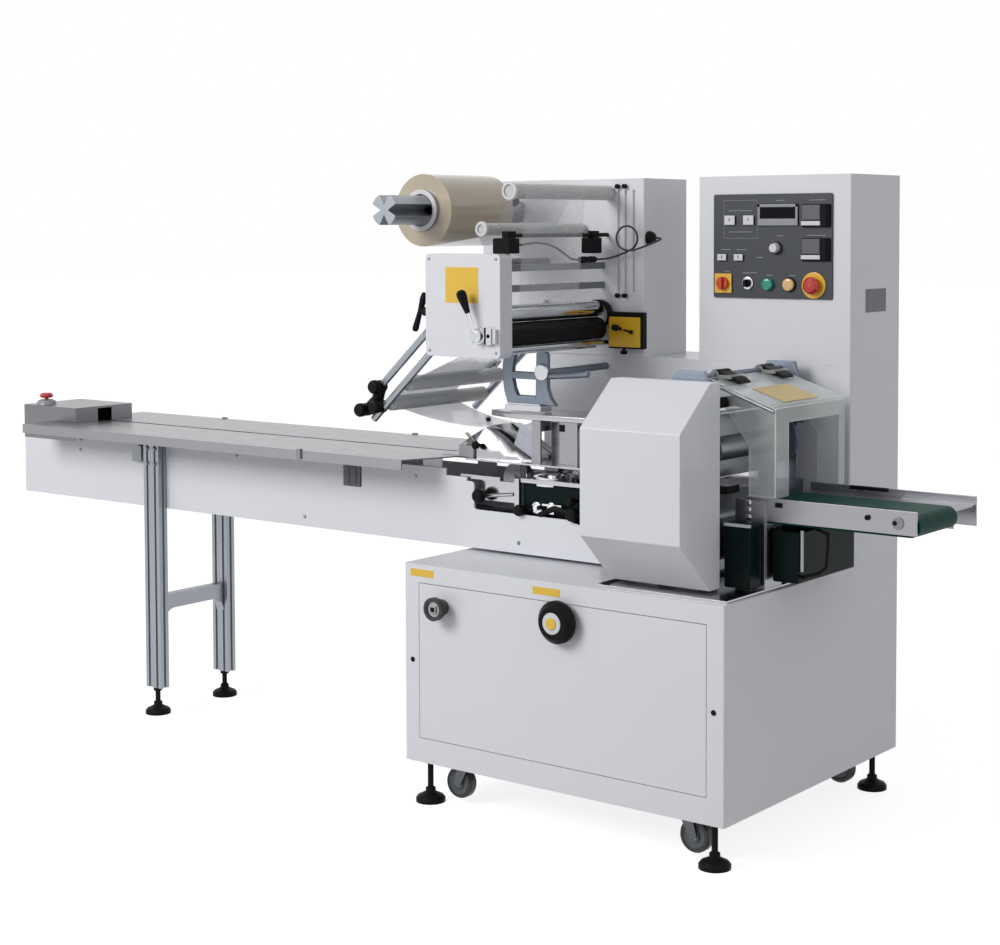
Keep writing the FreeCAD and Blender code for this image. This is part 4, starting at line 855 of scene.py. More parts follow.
@dataclass
class ControlBox:
    """The electrical cabinet with its panel of instruments, buttons and switches."""
    left: float = -361.0
    top: float = 1425.0
    front: float = 543.0
    plate_y: tuple[float, float] = (619.0, 720.0)
    plate_z: tuple[float, float] = (1150.0, 1204.0)
    ink: float = 0.3
    frame_line: float = 0.8
    printed_frame: tuple[tuple[float, float], tuple[float, float]] = ((28, 120), (14, 104))
    dash_height: float = 1.4
    dashes: tuple[tuple[tuple[float, float], float], ...] = (
        ((40, 104), 38.0), ((42, 104), 88.0), ((20, 47), 130.0), ((63, 90), 130.0), ((168, 192), 15.0),
        ((170, 188), 97.0), ((256, 298), 15.0), ((250, 298), 96.0), ((30, 44), 181.0), ((80, 120), 184.0),
        ((144, 160), 189.0), ((204, 220), 189.0), ((116, 134), 148.0))
    dial: tuple[float, float] = (170, 126)
    dots: int = 4
    dot: float = 0.6
    dot_step: float = 30
    dot_ring: float = 20
    controllers: tuple[float, float] = (27, 105)
    upper_rockers: tuple[float, float] = (46, 97)
    lower_rockers: tuple[float, float] = (25, 70)

    def patch(self, form: Form, u: tuple[float, float], v: tuple[float, float], out: float,
              thick: float = 1.0) -> None:
        """Add a flat area to the panel.

        Args:
            form: the form to add to.
            u: its left and right edge from the panel's left side.
            v: its top and bottom edge from the panel's top.
            out: how far its face stands out of the panel.
            thick: how thick it is.
        """
        form.block((self.left + u[0], self.front - out, self.top - v[1]),
                   (self.left + u[1], self.front - out + thick, self.top - v[0]))

    def lined(self, form: Form, u: tuple[float, float], v: tuple[float, float], width: float) -> None:
        """Add a printed frame line round an area of the panel.

        Args:
            form: the form to add to.
            u: the area's left and right edge.
            v: the area's top and bottom edge.
            width: the line's width.
        """
        for ends in ((u, (v[0], v[0] + width)), (u, (v[1] - width, v[1])),
                     ((u[0], u[0] + width), v), ((u[1] - width, u[1]), v)):
            self.patch(form, *ends, self.ink, self.ink)

    def prints(self) -> None:
        """Make the printed lines, the dashes and the dots round the dial."""
        form = Form()
        self.lined(form, self.printed_frame[0], self.printed_frame[1], self.frame_line)
        for u, v in self.dashes:
            self.patch(form, u, (v, v + self.dash_height), self.ink, self.ink)
        for turn in range(-self.dots, self.dots + 1):
            angle = math.radians(self.dot_step * turn)
            u = self.dial[0] + self.dot_ring * math.sin(angle)
            v = self.dial[1] - self.dot_ring * math.cos(angle)
            self.patch(form, (u - self.dot, u + self.dot), (v - self.dot, v + self.dot), self.ink, self.ink)
        form.piece("panel_lines", PRINT, ease=0)

    def instruments(self) -> None:
        """Make the counter's and the controllers' windows and frames."""
        form = Form()
        self.patch(form, (128, 220), (32, 57), 3.3)
        for top in self.controllers:
            self.patch(form, (239, 310), (top - 2, top + 51), 6.5, 6.5)
        form.piece("panel_windows", SMOKED, ease=0.0004)
        form = Form()
        for u, v in (((121, 227), (58, 74)), ((121, 127), (24, 58)), ((221, 227), (24, 58)), ((121, 227), (24, 31))):
            self.patch(form, u, v, 3.6)
        form.piece("counter_frame", GREY_PLASTIC, ease=0.0004)
        form = Form()
        for top in self.controllers:
            self.patch(form, (241, 287), (top, top + 34), 9.0)
        form.piece("controller_windows", DARK_PLATE, ease=0.0004)

    def switches(self) -> None:
        """Make the rockers with their marks, and the controllers' white strips."""
        form = Form()
        for top in self.controllers:
            self.patch(form, (239, 288), (top + 37, top + 47), 9.5, 1.5)
        for u in self.upper_rockers:
            self.patch(form, (u - 14, u + 14), (50, 72), 5.6, 2.0)
        for u in self.lower_rockers:
            self.patch(form, (u - 12, u + 12), (141, 156), 5.6, 2.0)
        form.piece("panel_rockers", WHITE_PLASTIC, ease=0.0010)
        form = Form()
        for row, v in ((self.upper_rockers, 61), (self.lower_rockers, 149)):
            for u in row:
                self.patch(form, (u - 1.2, u + 1.2), (v - 5, v + 2), 6.0, 0.8)
        form.piece("rocker_marks", DARK_PLATE, ease=0)

    def build(self) -> None:
        """Make the instruments' faces, the printed lines, the coloured buttons and the bare side plate."""
        self.prints()
        self.instruments()
        self.switches()
        self.button("green_button", GREEN_LENS, 149, 211, 14.0)
        self.button("cream_button", CREAM_LENS, 205, 211, 14.5)
        form = Form()
        self.patch(form, (5, 51), (187, 233), 3.6)
        form.piece("switch_plate", YELLOW_PAINT, ease=0.0008)
        form = Form().turned([(30.5, 0), (30.5, 3.2), (28, 4.2)], self.at(269, 212), FORWARD, 48)
        form.piece("stop_collar", YELLOW_PAINT, ease=0.0004)
        form = Form().turned([(15, 0), (15, 3), (12.5, 4.4)], self.at(94, 209), FORWARD, 40)
        form.piece("selector_ring", CHROME, ease=0.0004)
        form = Form().block((0, self.plate_y[0], self.plate_z[0]), (0.8, self.plate_y[1], self.plate_z[1]))
        form.piece("side_plate", DARK_PLATE, ease=0.0002)

    def at(self, u: float, v: float) -> tuple[float, float, float]:
        """Find a place on the panel's face.

        Args:
            u: how far it is from the panel's left side.
            v: how far it is below the panel's top.

        Returns:
            The place.
        """
        return (self.left + u, self.front, self.top - v)

    def button(self, name: str, finish: Finish, u: float, v: float, radius: float) -> None:
        """Make the lens of a push button over its solid.

        Args:
            name: the piece's name.
            finish: its finish.
            u: its middle's distance from the panel's left side.
            v: its middle's distance below the panel's top.
            radius: its radius.
        """
        lens = [(radius, 0), (radius, 9), (radius - 1.5, 10.6), (radius - 5, 11.2), (radius - 9, 11.4)]
        Form().turned(lens, self.at(u, v), FORWARD, 36).piece(name, finish, ease=0.0004)

    def dress(self) -> None:
        """Finish the box, the panel and what sits in it."""
        wear(WHITE_PAINT, "electrical_cabinet")
        wear(PANEL_BLACK, "control_panel")
        wear(BLACK_PLASTIC, "panel_instruments", "selector_switch")
        x, _, z = self.at(*self.dial)
        cap = Inlay(Bounds.ROUND_Y, (x, self.front - 14, z), (12.0, 7.0, 0.0), (0.75, 0.76, 0.78), 0.25)
        wear(Finish("speed_dial_black", BLACK_PLASTIC.colour, "black_plastic", roughness=0.3, inlays=(cap,)),
             "speed_dial")
        wear(RED_PLASTIC, "panel_estop", "infeed_estop")
        wear(SWITCH_RED, "main_switch")


@dataclass
class FilmHead:
    """The head box, the bearing box in front of it, the reel and the rollers between them."""
    head_front: float = 545.0
    box_front: float = 90.0
    box_back: float = 135.0
    web: tuple[float, float] = (172.0, 411.0)
    roll: tuple[float, float] = (-950.0, 1391.0)
    idlers: tuple[tuple[float, float, float], ...] = ((-662.0, 1433.0, 18.0), (-745.0, 1345.0, 14.0))
    nip: tuple[float, float] = (-685.0, 1098.0)
    lever: tuple[float, float] = (-712.0, 1099.0)
    arms: tuple[tuple[tuple[float, float], tuple[float, float]], ...] = (
        ((-850.0, 1159.0), (-1066.0, 961.0)), ((-850.0, 1101.0), (-1089.0, 879.0)))
    guides: tuple[float, float] = (0.59, 0.82)

    def guide_places(self) -> list[tuple[float, float]]:
        """Return where the two guide rollers sit along the lower arm."""
        (x0, z0), (x1, z1) = self.arms[1]
        return [(x0 + (x1 - x0) * share, z0 + (z1 - z0) * share) for share in self.guides]

    def build(self) -> None:
        """Make the film, the reel's knob, the rollers' caps, the lever, the drive block and the guide arms."""
        self.reel()
        self.film()
        self.front()
        self.drive()
        self.guide_arms()

    def reel(self) -> None:
        """Make the reel's white flange, the clamp knob behind it and the idlers' end rings."""
        x, z = self.roll
        Form().turned([(50, 0), (50, 2), (48, 3), (39, 3), (39, 0)], (x, 160, z), FORWARD, 56).piece(
            "reel_flange", WHITE_PLASTIC, "film_reel", ease=0.0004)
        form = Form().turned([(44, 0), (46, 4), (46, 22), (40, 26)], (x, 427, z), BACKWARD, 36)
        form.knobs((((x + 40, 440, z + 14), (0.9, -0.1, 0.35), 15, 44),
                    ((x + 36, 440, z - 24), (0.75, -0.1, -0.65), 12, 30)))
        form.piece("reel_clamp", BLACK_PLASTIC, "film_reel", ease=0.0006)
        for name, (cx, cz, radius) in zip(("upper", "lower"), self.idlers):
            ring = [(radius - 5, 0), (radius + 3, 0), (radius + 4, 2), (radius + 4, 8), (radius + 2, 10),
                    (radius - 3, 10), (radius - 3, 4), (radius - 9, 4)]
            Form().turned(ring, (cx, 144, cz), FORWARD, 40).piece(
                f"{name}_idler_ring", WHITE_PLASTIC, f"{name}_idler", ease=0.0004)

    def across(self, path: Sequence[tuple[float, float]]) -> Form:
        """Lay the film's full width along a path.

        Args:
            path: x and z of its points.

        Returns:
            The sheet's form.
        """
        near, far = self.web
        columns = 7
        return Form().sheet([[(x, near + (far - near) * n / (columns - 1), z) for n in range(columns)]
                             for x, z in path])

    def film(self) -> None:
        """Make the film from the reel over the rollers and down to the forming box."""
        upper, lower = self.guide_places()
        path = [(-941, 1303.4), (-747, 1330.5), (-731.5, 1339), (-729, 1350), (-680.5, 1431), (-677, 1442),
                (-669, 1450.5), (-655, 1451), (-645, 1441), (-643.4, 1430), (-664.4, 1148)]
        self.across(path).piece("film_upper_run", CLEAR_FILM, ease=0, stands_for=("film_web",))
        path = [(-714.5, 1094), (upper[0] + 14, upper[1] + 13), (upper[0] - 2, upper[1] + 19),
                (lower[0] + 2, lower[1] + 19), (lower[0] - 14, lower[1] + 12), (lower[0] - 17, lower[1] - 3)]
        self.across(path).piece("film_guide_run", FORMED_FILM, ease=0)
        rows = []
        for step in range(7):
            share = step / 6
            x = lower[0] - 17 + (-846 - lower[0] + 17) * share
            z = lower[1] - 3 + (864 - lower[1] + 3) * share - 10 * math.sin(math.pi * share)
            half = 119 - 47 * share
            rows.append([(x, 291 + 39 * share + half * (n / 4 - 1), z) for n in range(9)])
        Form().sheet(rows).piece("film_to_former", FORMED_FILM, ease=0)

    def front(self) -> None:
        """Make the lever with its black grip, its stop bracket and the bare label on the bearing box."""
        x, z = self.lever
        y = self.box_front
        form = Form().turned([(19, 0), (19, 8), (16, 10), (16, 20), (12, 24)], (x, y - 0.5, z), FORWARD, 40)
        tip = Vector((-748.0, y - 30, 1204.0))
        foot = Vector((x, y - 18, z))
        grip = foot.lerp(tip, 0.50)
        form.tube([foot, foot.lerp(grip, 0.4), grip], 4.2)
        form.piece("lever_rod", CHROME, "release_lever", stands_for=("release_lever",))
        run = (tip - grip).length
        Form().turned([(6, 0), (7.5, run * 0.2), (12, run * 0.72), (11.5, run * 0.9), (6, run)], grip,
                      tip - grip, 28).piece("lever_grip", BLACK_PLASTIC, "release_lever")
        form = Form().blocks((((-693, y - 11, 1079), (-687, y, 1119)), ((-693, y - 11, 1079), (-672, y - 7, 1119)),
                              ((-668, y - 12, 1082), (-660, y, 1116))))
        form.turned([(6, 0), (6, 4)], (-681, y - 7, 1099), FORWARD, 6)
        form.piece("lever_stop", CHROME)
        Form().block((-816, y - 0.6, 1174), (-718, y, 1257)).piece("box_label", LABEL_YELLOW, ease=0.0001)
        places = [(bx, y, bz) for bx, bz in ((-865, 1060), (-866, 1276), (-666, 1060), (-666, 1276))]
        form = Form().studs([(3.5, 0), (3.5, 1), (2.5, 2)], places, FORWARD, 16)
        form.piece("box_screws", STEEL, ease=0)
        form = Form()
        for z0 in (1246, 1198):
            form.block((-690, self.box_back, z0), (-678, self.head_front, z0 + 16))
        form.tube([(-858, self.box_back, 1262), (-858, self.head_front, 1262)], 10, 24)
        form.piece("tie_bars_flat", STEEL, stands_for=("tie_bars",))

    def drive(self) -> None:
        """Make the roller's belt cover, the black drive box with its yellow face and the bright rods below."""
        y = self.head_front
        Form().block((-654, y - 20, 1050), (-552, y, 1140)).piece(
            "drive_box", BLACK_PLASTIC, ease=0.0020, stands_for=("nip_drive_block",))
        form = Form().block((-650, y - 24, 1054), (-558, y - 20, 1128))
        form.piece("drive_face", YELLOW_PAINT, ease=0.0008)
        form = Form().knobs((((-612, y - 24, 1099), (-0.55, -0.8, 0.2), 8, 26),
                             ((-606, y - 22, 1050), DOWNWARD, 9, 14)))
        form.tube([(-604, y - 26, 1097), (-580, y - 30, 1092)], 2.5).knob((-580, y - 24, 1092), FORWARD, 5, 9)
        form.piece("drive_knobs", BLACK_PLASTIC, ease=0.0004)
        x, z = self.nip
        outer_radius, inner_radius, rise, step = 38, 33, 34, 20
        outline = [(x + outer_radius * math.cos(a), z + rise + outer_radius * math.sin(a)) for a in
                   (math.radians(step * n) for n in range(-2, 7))]
        inner = [(x + inner_radius * math.cos(a), z + rise + inner_radius * math.sin(a)) for a in
                 (math.radians(step * n) for n in range(6, -3, -1))]
        form = Form()
        for n in range(len(outline) - 1):
            m = len(inner) - 1 - n
            form.prism([outline[n], outline[n + 1], inner[m - 1], inner[m]], Axis.Y, y - 28, y - 8)
        form.piece("belt_cover", BLACK_PLASTIC, ease=0)
        form = Form().tube([(-664, self.box_back, 1064), (-664, y, 1064)], 7, 20)
        form.block((-700, 150, 1052), (-672, 500, 1056))
        form.piece("scraper_rods", CHROME, ease=0.0004)
        form = Form().block((-716, 158, 1048), (-698, 190, 1058)).block((-676, 196, 1056), (-660, 220, 1068))
        form.piece("scraper_feet", WHITE_PLASTIC)

    def guide_arms(self) -> None:
        """Make the sloping arms, their black clamps and knobs, and the pale guide rollers."""
        near, far = self.box_back + 7, self.head_front - 7
        form = Form()
        for y in (near, far):
            for start, end in self.arms:
                form.tube([(start[0], y, start[1]), ((start[0] + end[0]) / 2, y, (start[1] + end[1]) / 2),
                           (end[0], y, end[1])], 9.5, 8)
        form.tube([(-1002, far, 1004), (-1020, far, 985), (-1012, far, 968), (-1034, far, 942)], 4)
        form.piece("guide_bars", ALUMINIUM, ease=0.0006, stands_for=("guide_arms",))
        form = Form()
        for (x, z), radius in (((-1066, 961), 17), ((-1112, 902), 17), ((-1064, 912), 16)):
            form.knob((x, near - 2, z), FORWARD, radius, 34)
            form.turned([(14, 0), (16, 4), (16, 16), (14, 20)], (x, near - 10, z), BACKWARD, 20)
        form.tube([(-1064, near, 968), (-1076, near, 930), (-1108, near, 902)], 15, 12)
        form.tube([(-1064, near, 912), (-1086, near, 904), (-1112, near, 902)], 14, 12)
        form.piece("guide_clamps", BLACK_PLASTIC, ease=0.0004)
        form = Form()
        for x, z in self.guide_places():
            form.turned([(9, 0), (9, 8), (17, 9), (18, 11), (18, 371), (17, 373), (9, 374), (9, 382)],
                        (x, near + 4, z), BACKWARD, 40)
        form.piece("guide_rollers", GUIDE_WHITE, ease=0.0004)

    def dress(self) -> None:
        """Finish the head's own pieces."""
        wear(WHITE_PAINT, "film_head_box", "front_bearing_box")
        wear(BLACK_PLASTIC, "head_fittings", "sensor_bar", "side_handle")
        wear(ALUMINIUM, "roll_shaft")
        wear(GUIDE_WHITE, "upper_idler", "lower_idler")
        wear(ROLLER_RUBBER, "feed_roller")
        wear(CHROME, "pressure_roller")
        wear(FILM_WOUND, "film_roll")


@dataclass
class Infeed:
    """The infeed beam, its table, chain, end box and legs."""
    beam_front: float = 218.0
    table_top: float = 790.0
    stop: tuple[float, float, float] = (-2489.0, 257.0, 840.0)

    def build(self) -> None:
        """Make the fittings on the beam, the table and the legs."""
        y = self.beam_front
        screws = ((-2290, 742), (-2290, 714), (-1650, 740), (-1020, 735), (-1400, 600), (-700, 600))
        form = Form().studs([(4.5, 0), (4.5, 1.5), (3, 3)], [(x, y, z) for x, z in screws], FORWARD, 16)
        bolts = ((-1972, 742), (-1942, 742), (-1972, 700), (-1942, 700))
        for leg_y, outward in ((188, FORWARD), (473, BACKWARD)):
            form.studs([(6, 0), (6, 4), (5, 5)], [(x, leg_y, z) for x, z in bolts], outward, 6)
        form.piece("beam_screws", STEEL, ease=0.0003)
        form = Form().block((-2052, y - 14, 700), (-2016, y, 760)).block((-2052, y - 22, 744), (-2016, y, 760))
        form.piece("leg_bracket", STEEL)
        form = Form().blocks((((-1261, y - 3, 695), (-1203, y + 1, 747)), ((-1250, y - 5, 700), (-1240, y, 742)),
                              ((-1230, y - 5, 700), (-1216, y, 742))))
        form.piece("beam_latch", DARK_PLATE, ease=0.0008)
        form = Form()
        for x, edge in ((-1309, 105), (-1314, 560), (-2050, 560)):
            form.block((x - 7, edge - 5, self.table_top - 22), (x + 7, edge + 5, self.table_top + 4))
        form.piece("table_clips", STEEL)

    def dress(self) -> None:
        """Finish the infeed's own pieces."""
        wear(WHITE_PAINT, "infeed_side_plate", "infeed_beam")
        wear(STAINLESS, "infeed_table")
        x, y, z = self.stop
        collar = Inlay(Bounds.BLOCK, (x, y, z), (33.0, 33.0, 7.2), GREY_PLASTIC.colour, 0.4)
        wear(Finish("end_box_stainless", (0.22, 0.22, 0.235), "stainless", roughness=0.3, metallic=1.0,
                    grain=Grain.BRUSHED_X, relief=0.06, inlays=(collar,)), "infeed_end_box")
        wear(STEEL, "infeed_chain")
        wear(ALUMINIUM, "infeed_legs")


@dataclass
class Sealing:
    """The forming box, the fin seal, the bridge over the tube, the jaws, the hood and the guard."""
    line: float = 330.0
    table_top: float = 790.0
    yoke_y: float = 300.0
    hood_x: tuple[float, float] = (-330.0, -76.0)
    hood_front: float = -52.0
    hood_back: float = 106.0
    guard_y: tuple[float, float] = (180.0, 490.0)
    guard_x: float = 15.0
    guard_low: float = 770.3
    shoulder: float = 962.0
    hinge: tuple[float, float] = (-155.0, 1025.0)

    def build(self) -> None:
        """Make the section from the forming box to the guard, in the order that the film passes them."""
        self.former()
        self.fin_seal()
        self.yoke()
        self.bridge()
        self.hood()
        self.jaws()
        self.guard()

    def former(self) -> None:
        """Make the forming box's folded plates, its flap and its knob."""
        top = self.table_top
        form = Form()
        for side in (-1, 1):
            edge = [(-905, 80, 790, 818), (-870, 77, 790, 842), (-832, 73, 790, 864), (-790, 68, 790, 844),
                    (-745, 63, 790, 818), (-702, 58, 790, 796)]
            form.sheet([[(x, self.line + side * half, low), (x, self.line + side * half * 0.98, high),
                         (x, self.line + side * half * 0.45, high + 4)] for x, half, low, high in edge])
        form.sheet([[(-905, self.line + n * 36, 822 - abs(n)) for n in (-1, 0, 1)],
                    [(-832, self.line + n * 33, 868 - abs(n)) for n in (-1, 0, 1)],
                    [(-702, self.line + n * 26, 800 - abs(n)) for n in (-1, 0, 1)]])
        form.piece("former_plates", POLISHED, ease=0, stands_for=("forming_box",), thickness=0.0016)
        form = Form().blocks((((-968, 258, top - 1), (-896, 402, top + 1.5)), ((-905, 246, top), (-860, 252, 818))))
        form.piece("former_shoe", STAINLESS, ease=0.0004)
        Form().knob((-846, 252, 822), FORWARD, 10, 22).piece("former_knob", BLACK_PLASTIC)
        flap = [[(-900, 262, 846), (-880, 250, 850)], [(-872, 262, 822), (-852, 250, 826)]]
        Form().sheet(flap).piece("former_flap", FILM_WOUND, ease=0, thickness=0.001)

    def fin_seal(self) -> None:
        """Make the fin-seal unit's slide, rods and knobs in the beam's notch."""
        form = Form().blocks((((-884, 226, 741), (-762, 234, 751)), ((-838, 240, 690), (-726, 246, 740)),
                              ((-718, 224, 668), (-704, 236, 752)), ((-700, 226, 744), (-470, 236, 754))))
        form.tube([(-818, 232, 701), (-726, 232, 712)], 4)
        form.piece("fin_seal_slide", POLISHED, ease=0.0006)
        form = Form().block((-700, 238, 662), (-480, 246, 742))
        form.piece("fin_seal_well", DARK_COVER, ease=0.0006)
        form = Form().knobs(((x, 236, z), FORWARD, radius, 34) for x, z, radius in
                            ((-818, 703, 17), (-695, 679, 14), (-542, 682, 16), (-545, 712, 11)))
        form.tube([(-834, 232, 676), (-760, 232, 671), (-690, 232, 676), (-640, 226, 690)], 5)
        form.tube([(-640, 222, 672), (-600, 220, 690), (-560, 226, 684)], 7)
        form.piece("fin_seal_knobs", BLACK_PLASTIC, ease=0.0004)
        form = Form()
        for x, z, radius in ((-655, 686, 15), (-612, 690, 13)):
            form.turned([(radius, 0), (radius, 10), (radius - 3, 12), (6, 12), (6, 16)], (x, 238, z),
                        FORWARD, 32)
        form.block((-648, 222, 676), (-600, 228, 683)).block((-636, 224, 694), (-580, 230, 699))
        form.piece("fin_seal_wheels", CHROME, ease=0.0004)

    def yoke(self) -> None:
        """Make the cast yoke: a curved arm, an upright, the bar through them and a stepped foot."""
        y = self.yoke_y
        form = Form()
        left = [(-806, 1046), (-786, 1060), (-772, 1050), (-780, 1020), (-783, 990), (-776, 960), (-766, 940),
                (-762, 922), (-796, 922), (-806, 950), (-812, 985), (-812, 1015)]
        right = [(-709, 1046), (-704, 1053), (-684, 1053), (-677, 1044), (-677, 965), (-668, 940), (-652, 922),
                 (-712, 922)]
        form.prism(left, Axis.Y, y, y + 16).prism(right, Axis.Y, y, y + 16)
        form.block((-800, y + 2, 983), (-690, y + 14, 1001)).block((-770, y + 1, 918), (-700, y + 15, 944))
        form.tube([(-700, y + 8, 992), (-640, y + 8, 996), (-560, y + 8, 1003)], 9, 8)
        form.tube([(-690, y + 10, 1000), (-675, y + 100, 1002), (-675, 547, 1004)], 9, 16)
        form.piece("yoke_casting", CASTING, ease=0.0022, stands_for=("yoke_bracket",))
        form = Form().blocks((((-792, y - 16, 907), (-684, y + 30, 922)), ((-786, y - 12, 919), (-690, y + 26, 926))))
        form.turned([(20, 0), (20, 6), (17, 8)], (-690, y, 1002), FORWARD, 32)
        form.piece("yoke_foot", CHROME, ease=0.0010)

    def bridge(self) -> None:
        """Make the polished rail over the tube and the stainless plates that hang from it."""
        rail = [(-838, 290), (-838, 330), (-760, 372), (-540, 404), (-532, 400), (-532, 262), (-540, 256),
                (-700, 252), (-760, 262)]
        Form().prism(rail, Axis.Z, 891, 905).piece("bridge_rail", POLISHED, ease=0.0020,
                                                   stands_for=("sealing_bridge",))
        form = Form().blocks((((-694, 262, 782), (-668, 268, 891)), ((-664, 300, 782), (-618, 304, 884)),
                              ((-612, 262, 790), (-560, 268, 891)), ((-668, 396, 790), (-560, 402, 891)),
                              ((-612, 268, 860), (-604, 340, 891)), ((-694, 268, 860), (-686, 330, 891))))
        form.piece("bridge_plates", STAINLESS, ease=0.0008)
        places = [(x, 266, z) for x, z in ((-826, 884), (-650, 874), (-552, 880))]
        form = Form().studs([(6, 0), (6, 6), (4, 8)], places, FORWARD, 6)
        form.block((-610, 258, 868), (-598, 262, 884))
        form.piece("bridge_screws", BLACK_PLASTIC, ease=0.0004)
        form = Form().prism([(-768, 800), (-740, 872), (-700, 884), (-696, 884), (-696, 793), (-702, 792)],
                            Axis.Y, 276, 278)
        form.piece("tube_film", FORMED_FILM, ease=0)

    def hood(self) -> None:
        """Make the end-sealing hood in front of the jaws."""
        side = [(self.hood_back, 579), (66, 579), (self.hood_front, 689), (self.hood_front, 921), (66, 1020),
                (self.hood_back, 1020)]
        Form().prism(side, Axis.X, *self.hood_x).piece("hood_cover", WHITE_PAINT, ease=0.0020,
                                                      stands_for=("end_seal_hood",))

    def jaws(self) -> None:
        """Make the jaws' side castings with their windows, the discs, the clamp and the drive cover."""
        x0, x1, base, top = -240, -92, 573, 1040
        form = Form()
        post, thick = 44, 12
        outlines = ([(x0, base), (x0 + post, base), (x0 + post, 930), (x0, 930)],
                    [(x1 - post, base), (x1, base), (x1, 640), (x1 - post, 640)],
                    [(x0, 900), (x1, 900), (x1, 940), (-120, top), (-190, top), (x0, 960)],
                    [(x0, 640), (x1, 640), (x1, 770), (x0, 770)])
        for y in (112, 500):
            for outline in outlines:
                form.prism(outline, Axis.Y, y, y + thick)
            form.prism([(x0 + 30, 770), (x1 - 20, 770), (x1 - 20, 900), (x0 + 30, 900)], Axis.Y, y + 2, y + 10)
        for x, z, radius in ((-155, 1025, 5), (-190, 1000, 9), (-105, 600, 9), (-225, 600, 9)):
            form.tube([(x, 120, z), (x, 510, z)], radius, 20)
        form.piece("jaw_castings", CASTING, ease=0.0015, stands_for=("jaw_frame",))
        form = Form().turned([(54, 0), (56, 2), (56, 10), (50, 12)], (-150, 482, 865), FORWARD, 48)
        form.turned([(40, 0), (42, 2), (42, 10), (36, 12)], (-150, 482, 705), FORWARD, 40)
        form.prism([(-130, 905), (-96, 930), (-88, 960), (-112, 965), (-140, 930)], Axis.Y, 470, 490)
        form.piece("jaw_bearings", BLUE_CASTING, ease=0.0010)
        form = Form().tube([(-118, 150, 968), (-104, 210, 972), (-98, 260, 962), (-92, 300, 930)], 12, 10)
        form.block((-122, 420, 915), (-70, 470, 948)).block((-112, 150, 775), (-84, 200, 792))
        form.piece("jaw_clamps", BLACK_PLASTIC, ease=0.0010)
        form = Form().tube([(-86, 118, 952), (-86, 300, 952)], 4, 10).block((-104, 126, 780), (-96, 300, 812))
        form.piece("jaw_rods", CHROME, ease=0.0004)
        form = Form().block((-78, 125, 580), (-14, 174, 716)).block((0, 196, 590), (62, 452, 700))
        form.block((-62, 200, 578), (-30, 460, 700))
        form.piece("drive_cover", DARK_COVER, ease=0.0030)
        form = Form().block((-78, 123, 712), (-14, 130, 718)).tube([(66, 206, 704), (66, 206, 616)], 3.5, 12)
        form.piece("drive_trim", WHITE_PLASTIC, ease=0.0004)
        loop = [(96, 206, 712), (126, 206, 702), (128, 206, 680), (124, 206, 632), (104, 212, 616),
                (30, 216, 592), (14, 216, 590), (10, 210, 660)]
        Form().tube(loop, 4, 10).piece("belt_loop", BLACK_PLASTIC, ease=0)

    def guard(self) -> None:
        """Make the guard's bright edges, its hinges, its corner blocks and the faded bare patch on top."""
        near, far = self.guard_y
        x, z = self.hinge
        body = "clear_guard"
        form = Form()
        edge, inside, low = self.guard_x - 1, self.guard_x - 2, self.guard_low + 2
        inset, left, window = 1.5, near + 58, far - 22
        for y in (near + inset, far - inset):
            form.tube([(x + 4, y, z - 5), (edge, y, self.shoulder), (edge, y, low)], 1.8, 8)
        form.tube([(edge, near + 1, self.shoulder), (edge, far - 1, self.shoulder)], 1.8, 8)
        form.tube([(-48, near + inset, low), (edge, near + inset, low)], 1.5, 8)
        form.tube([(-48, near + inset, low), (-48, near + inset, 880)], 1.2, 8)
        for y in (left, window):
            form.tube([(inside, y, low), (inside, y, 930)], 1.3, 8)
        form.tube([(inside, left, 930), (inside, window, 930)], 1.3, 8)
        form.piece("guard_edges", ACRYLIC_EDGE, body, ease=0)
        form = Form()
        for y in (near + 30, far - 90):
            form.turned([(10, 0), (12, 3), (12, 57), (10, 60)], (x, y, z), BACKWARD, 24)
            form.prism([(x - 4, z + 2), (x + 6, z + 9), (x + 50, z - 5), (x + 62, z - 14), (x + 60, z - 18),
                        (x + 4, z - 2)], Axis.Y, y + 6, y + 54)
        form.piece("guard_hinges", BLACK_PLASTIC, body, ease=0.0020)
        slope = (self.shoulder - (z - 8)) / (self.guard_x - x)
        rows = []
        for px in (-76, 2):
            pz = z - 8 + slope * (px - x) + 5.6
            rows.append([(px, near + 60, pz), (px, far - 96, pz)])
        Form().sheet(rows).piece("guard_patch", FADED_PATCH, body, ease=0, thickness=0.0004)
        form = Form().block((x + 6, near + 2, z - 14), (x + 22, near + 12, z - 2))
        form.tube([(x + 2, near - 3, z - 12), (self.guard_x - 2, near - 3, self.shoulder - 6)], 3.2, 8)
        form.piece("guard_trim", STEEL, body, ease=0.0006)

    def dress(self) -> None:
        """Finish the sealing section's own pieces."""
        bed = Inlay(Bounds.BLOCK, (-560.0, self.line, 788.0), (400.0, 200.0, 4.0), POLISHED.colour, 0.2, 1.0)
        wheels = Inlay(Bounds.BLOCK, (-640.0, self.line, 748.0), (60.0, 120.0, 14.0), CHROME.colour, 0.12, 1.0)
        wear(Finish("fin_seal_dark", (0.05, 0.05, 0.055), "stainless", roughness=0.4, metallic=0.7,
                    grain=Grain.CAST, relief=0.1, inlays=(bed, wheels)), "fin_seal_unit")
        wear(POLISHED, "deck_tray")
        wear(STEEL, "upper_jaw", "lower_jaw")
        wear(ACRYLIC, "clear_guard")


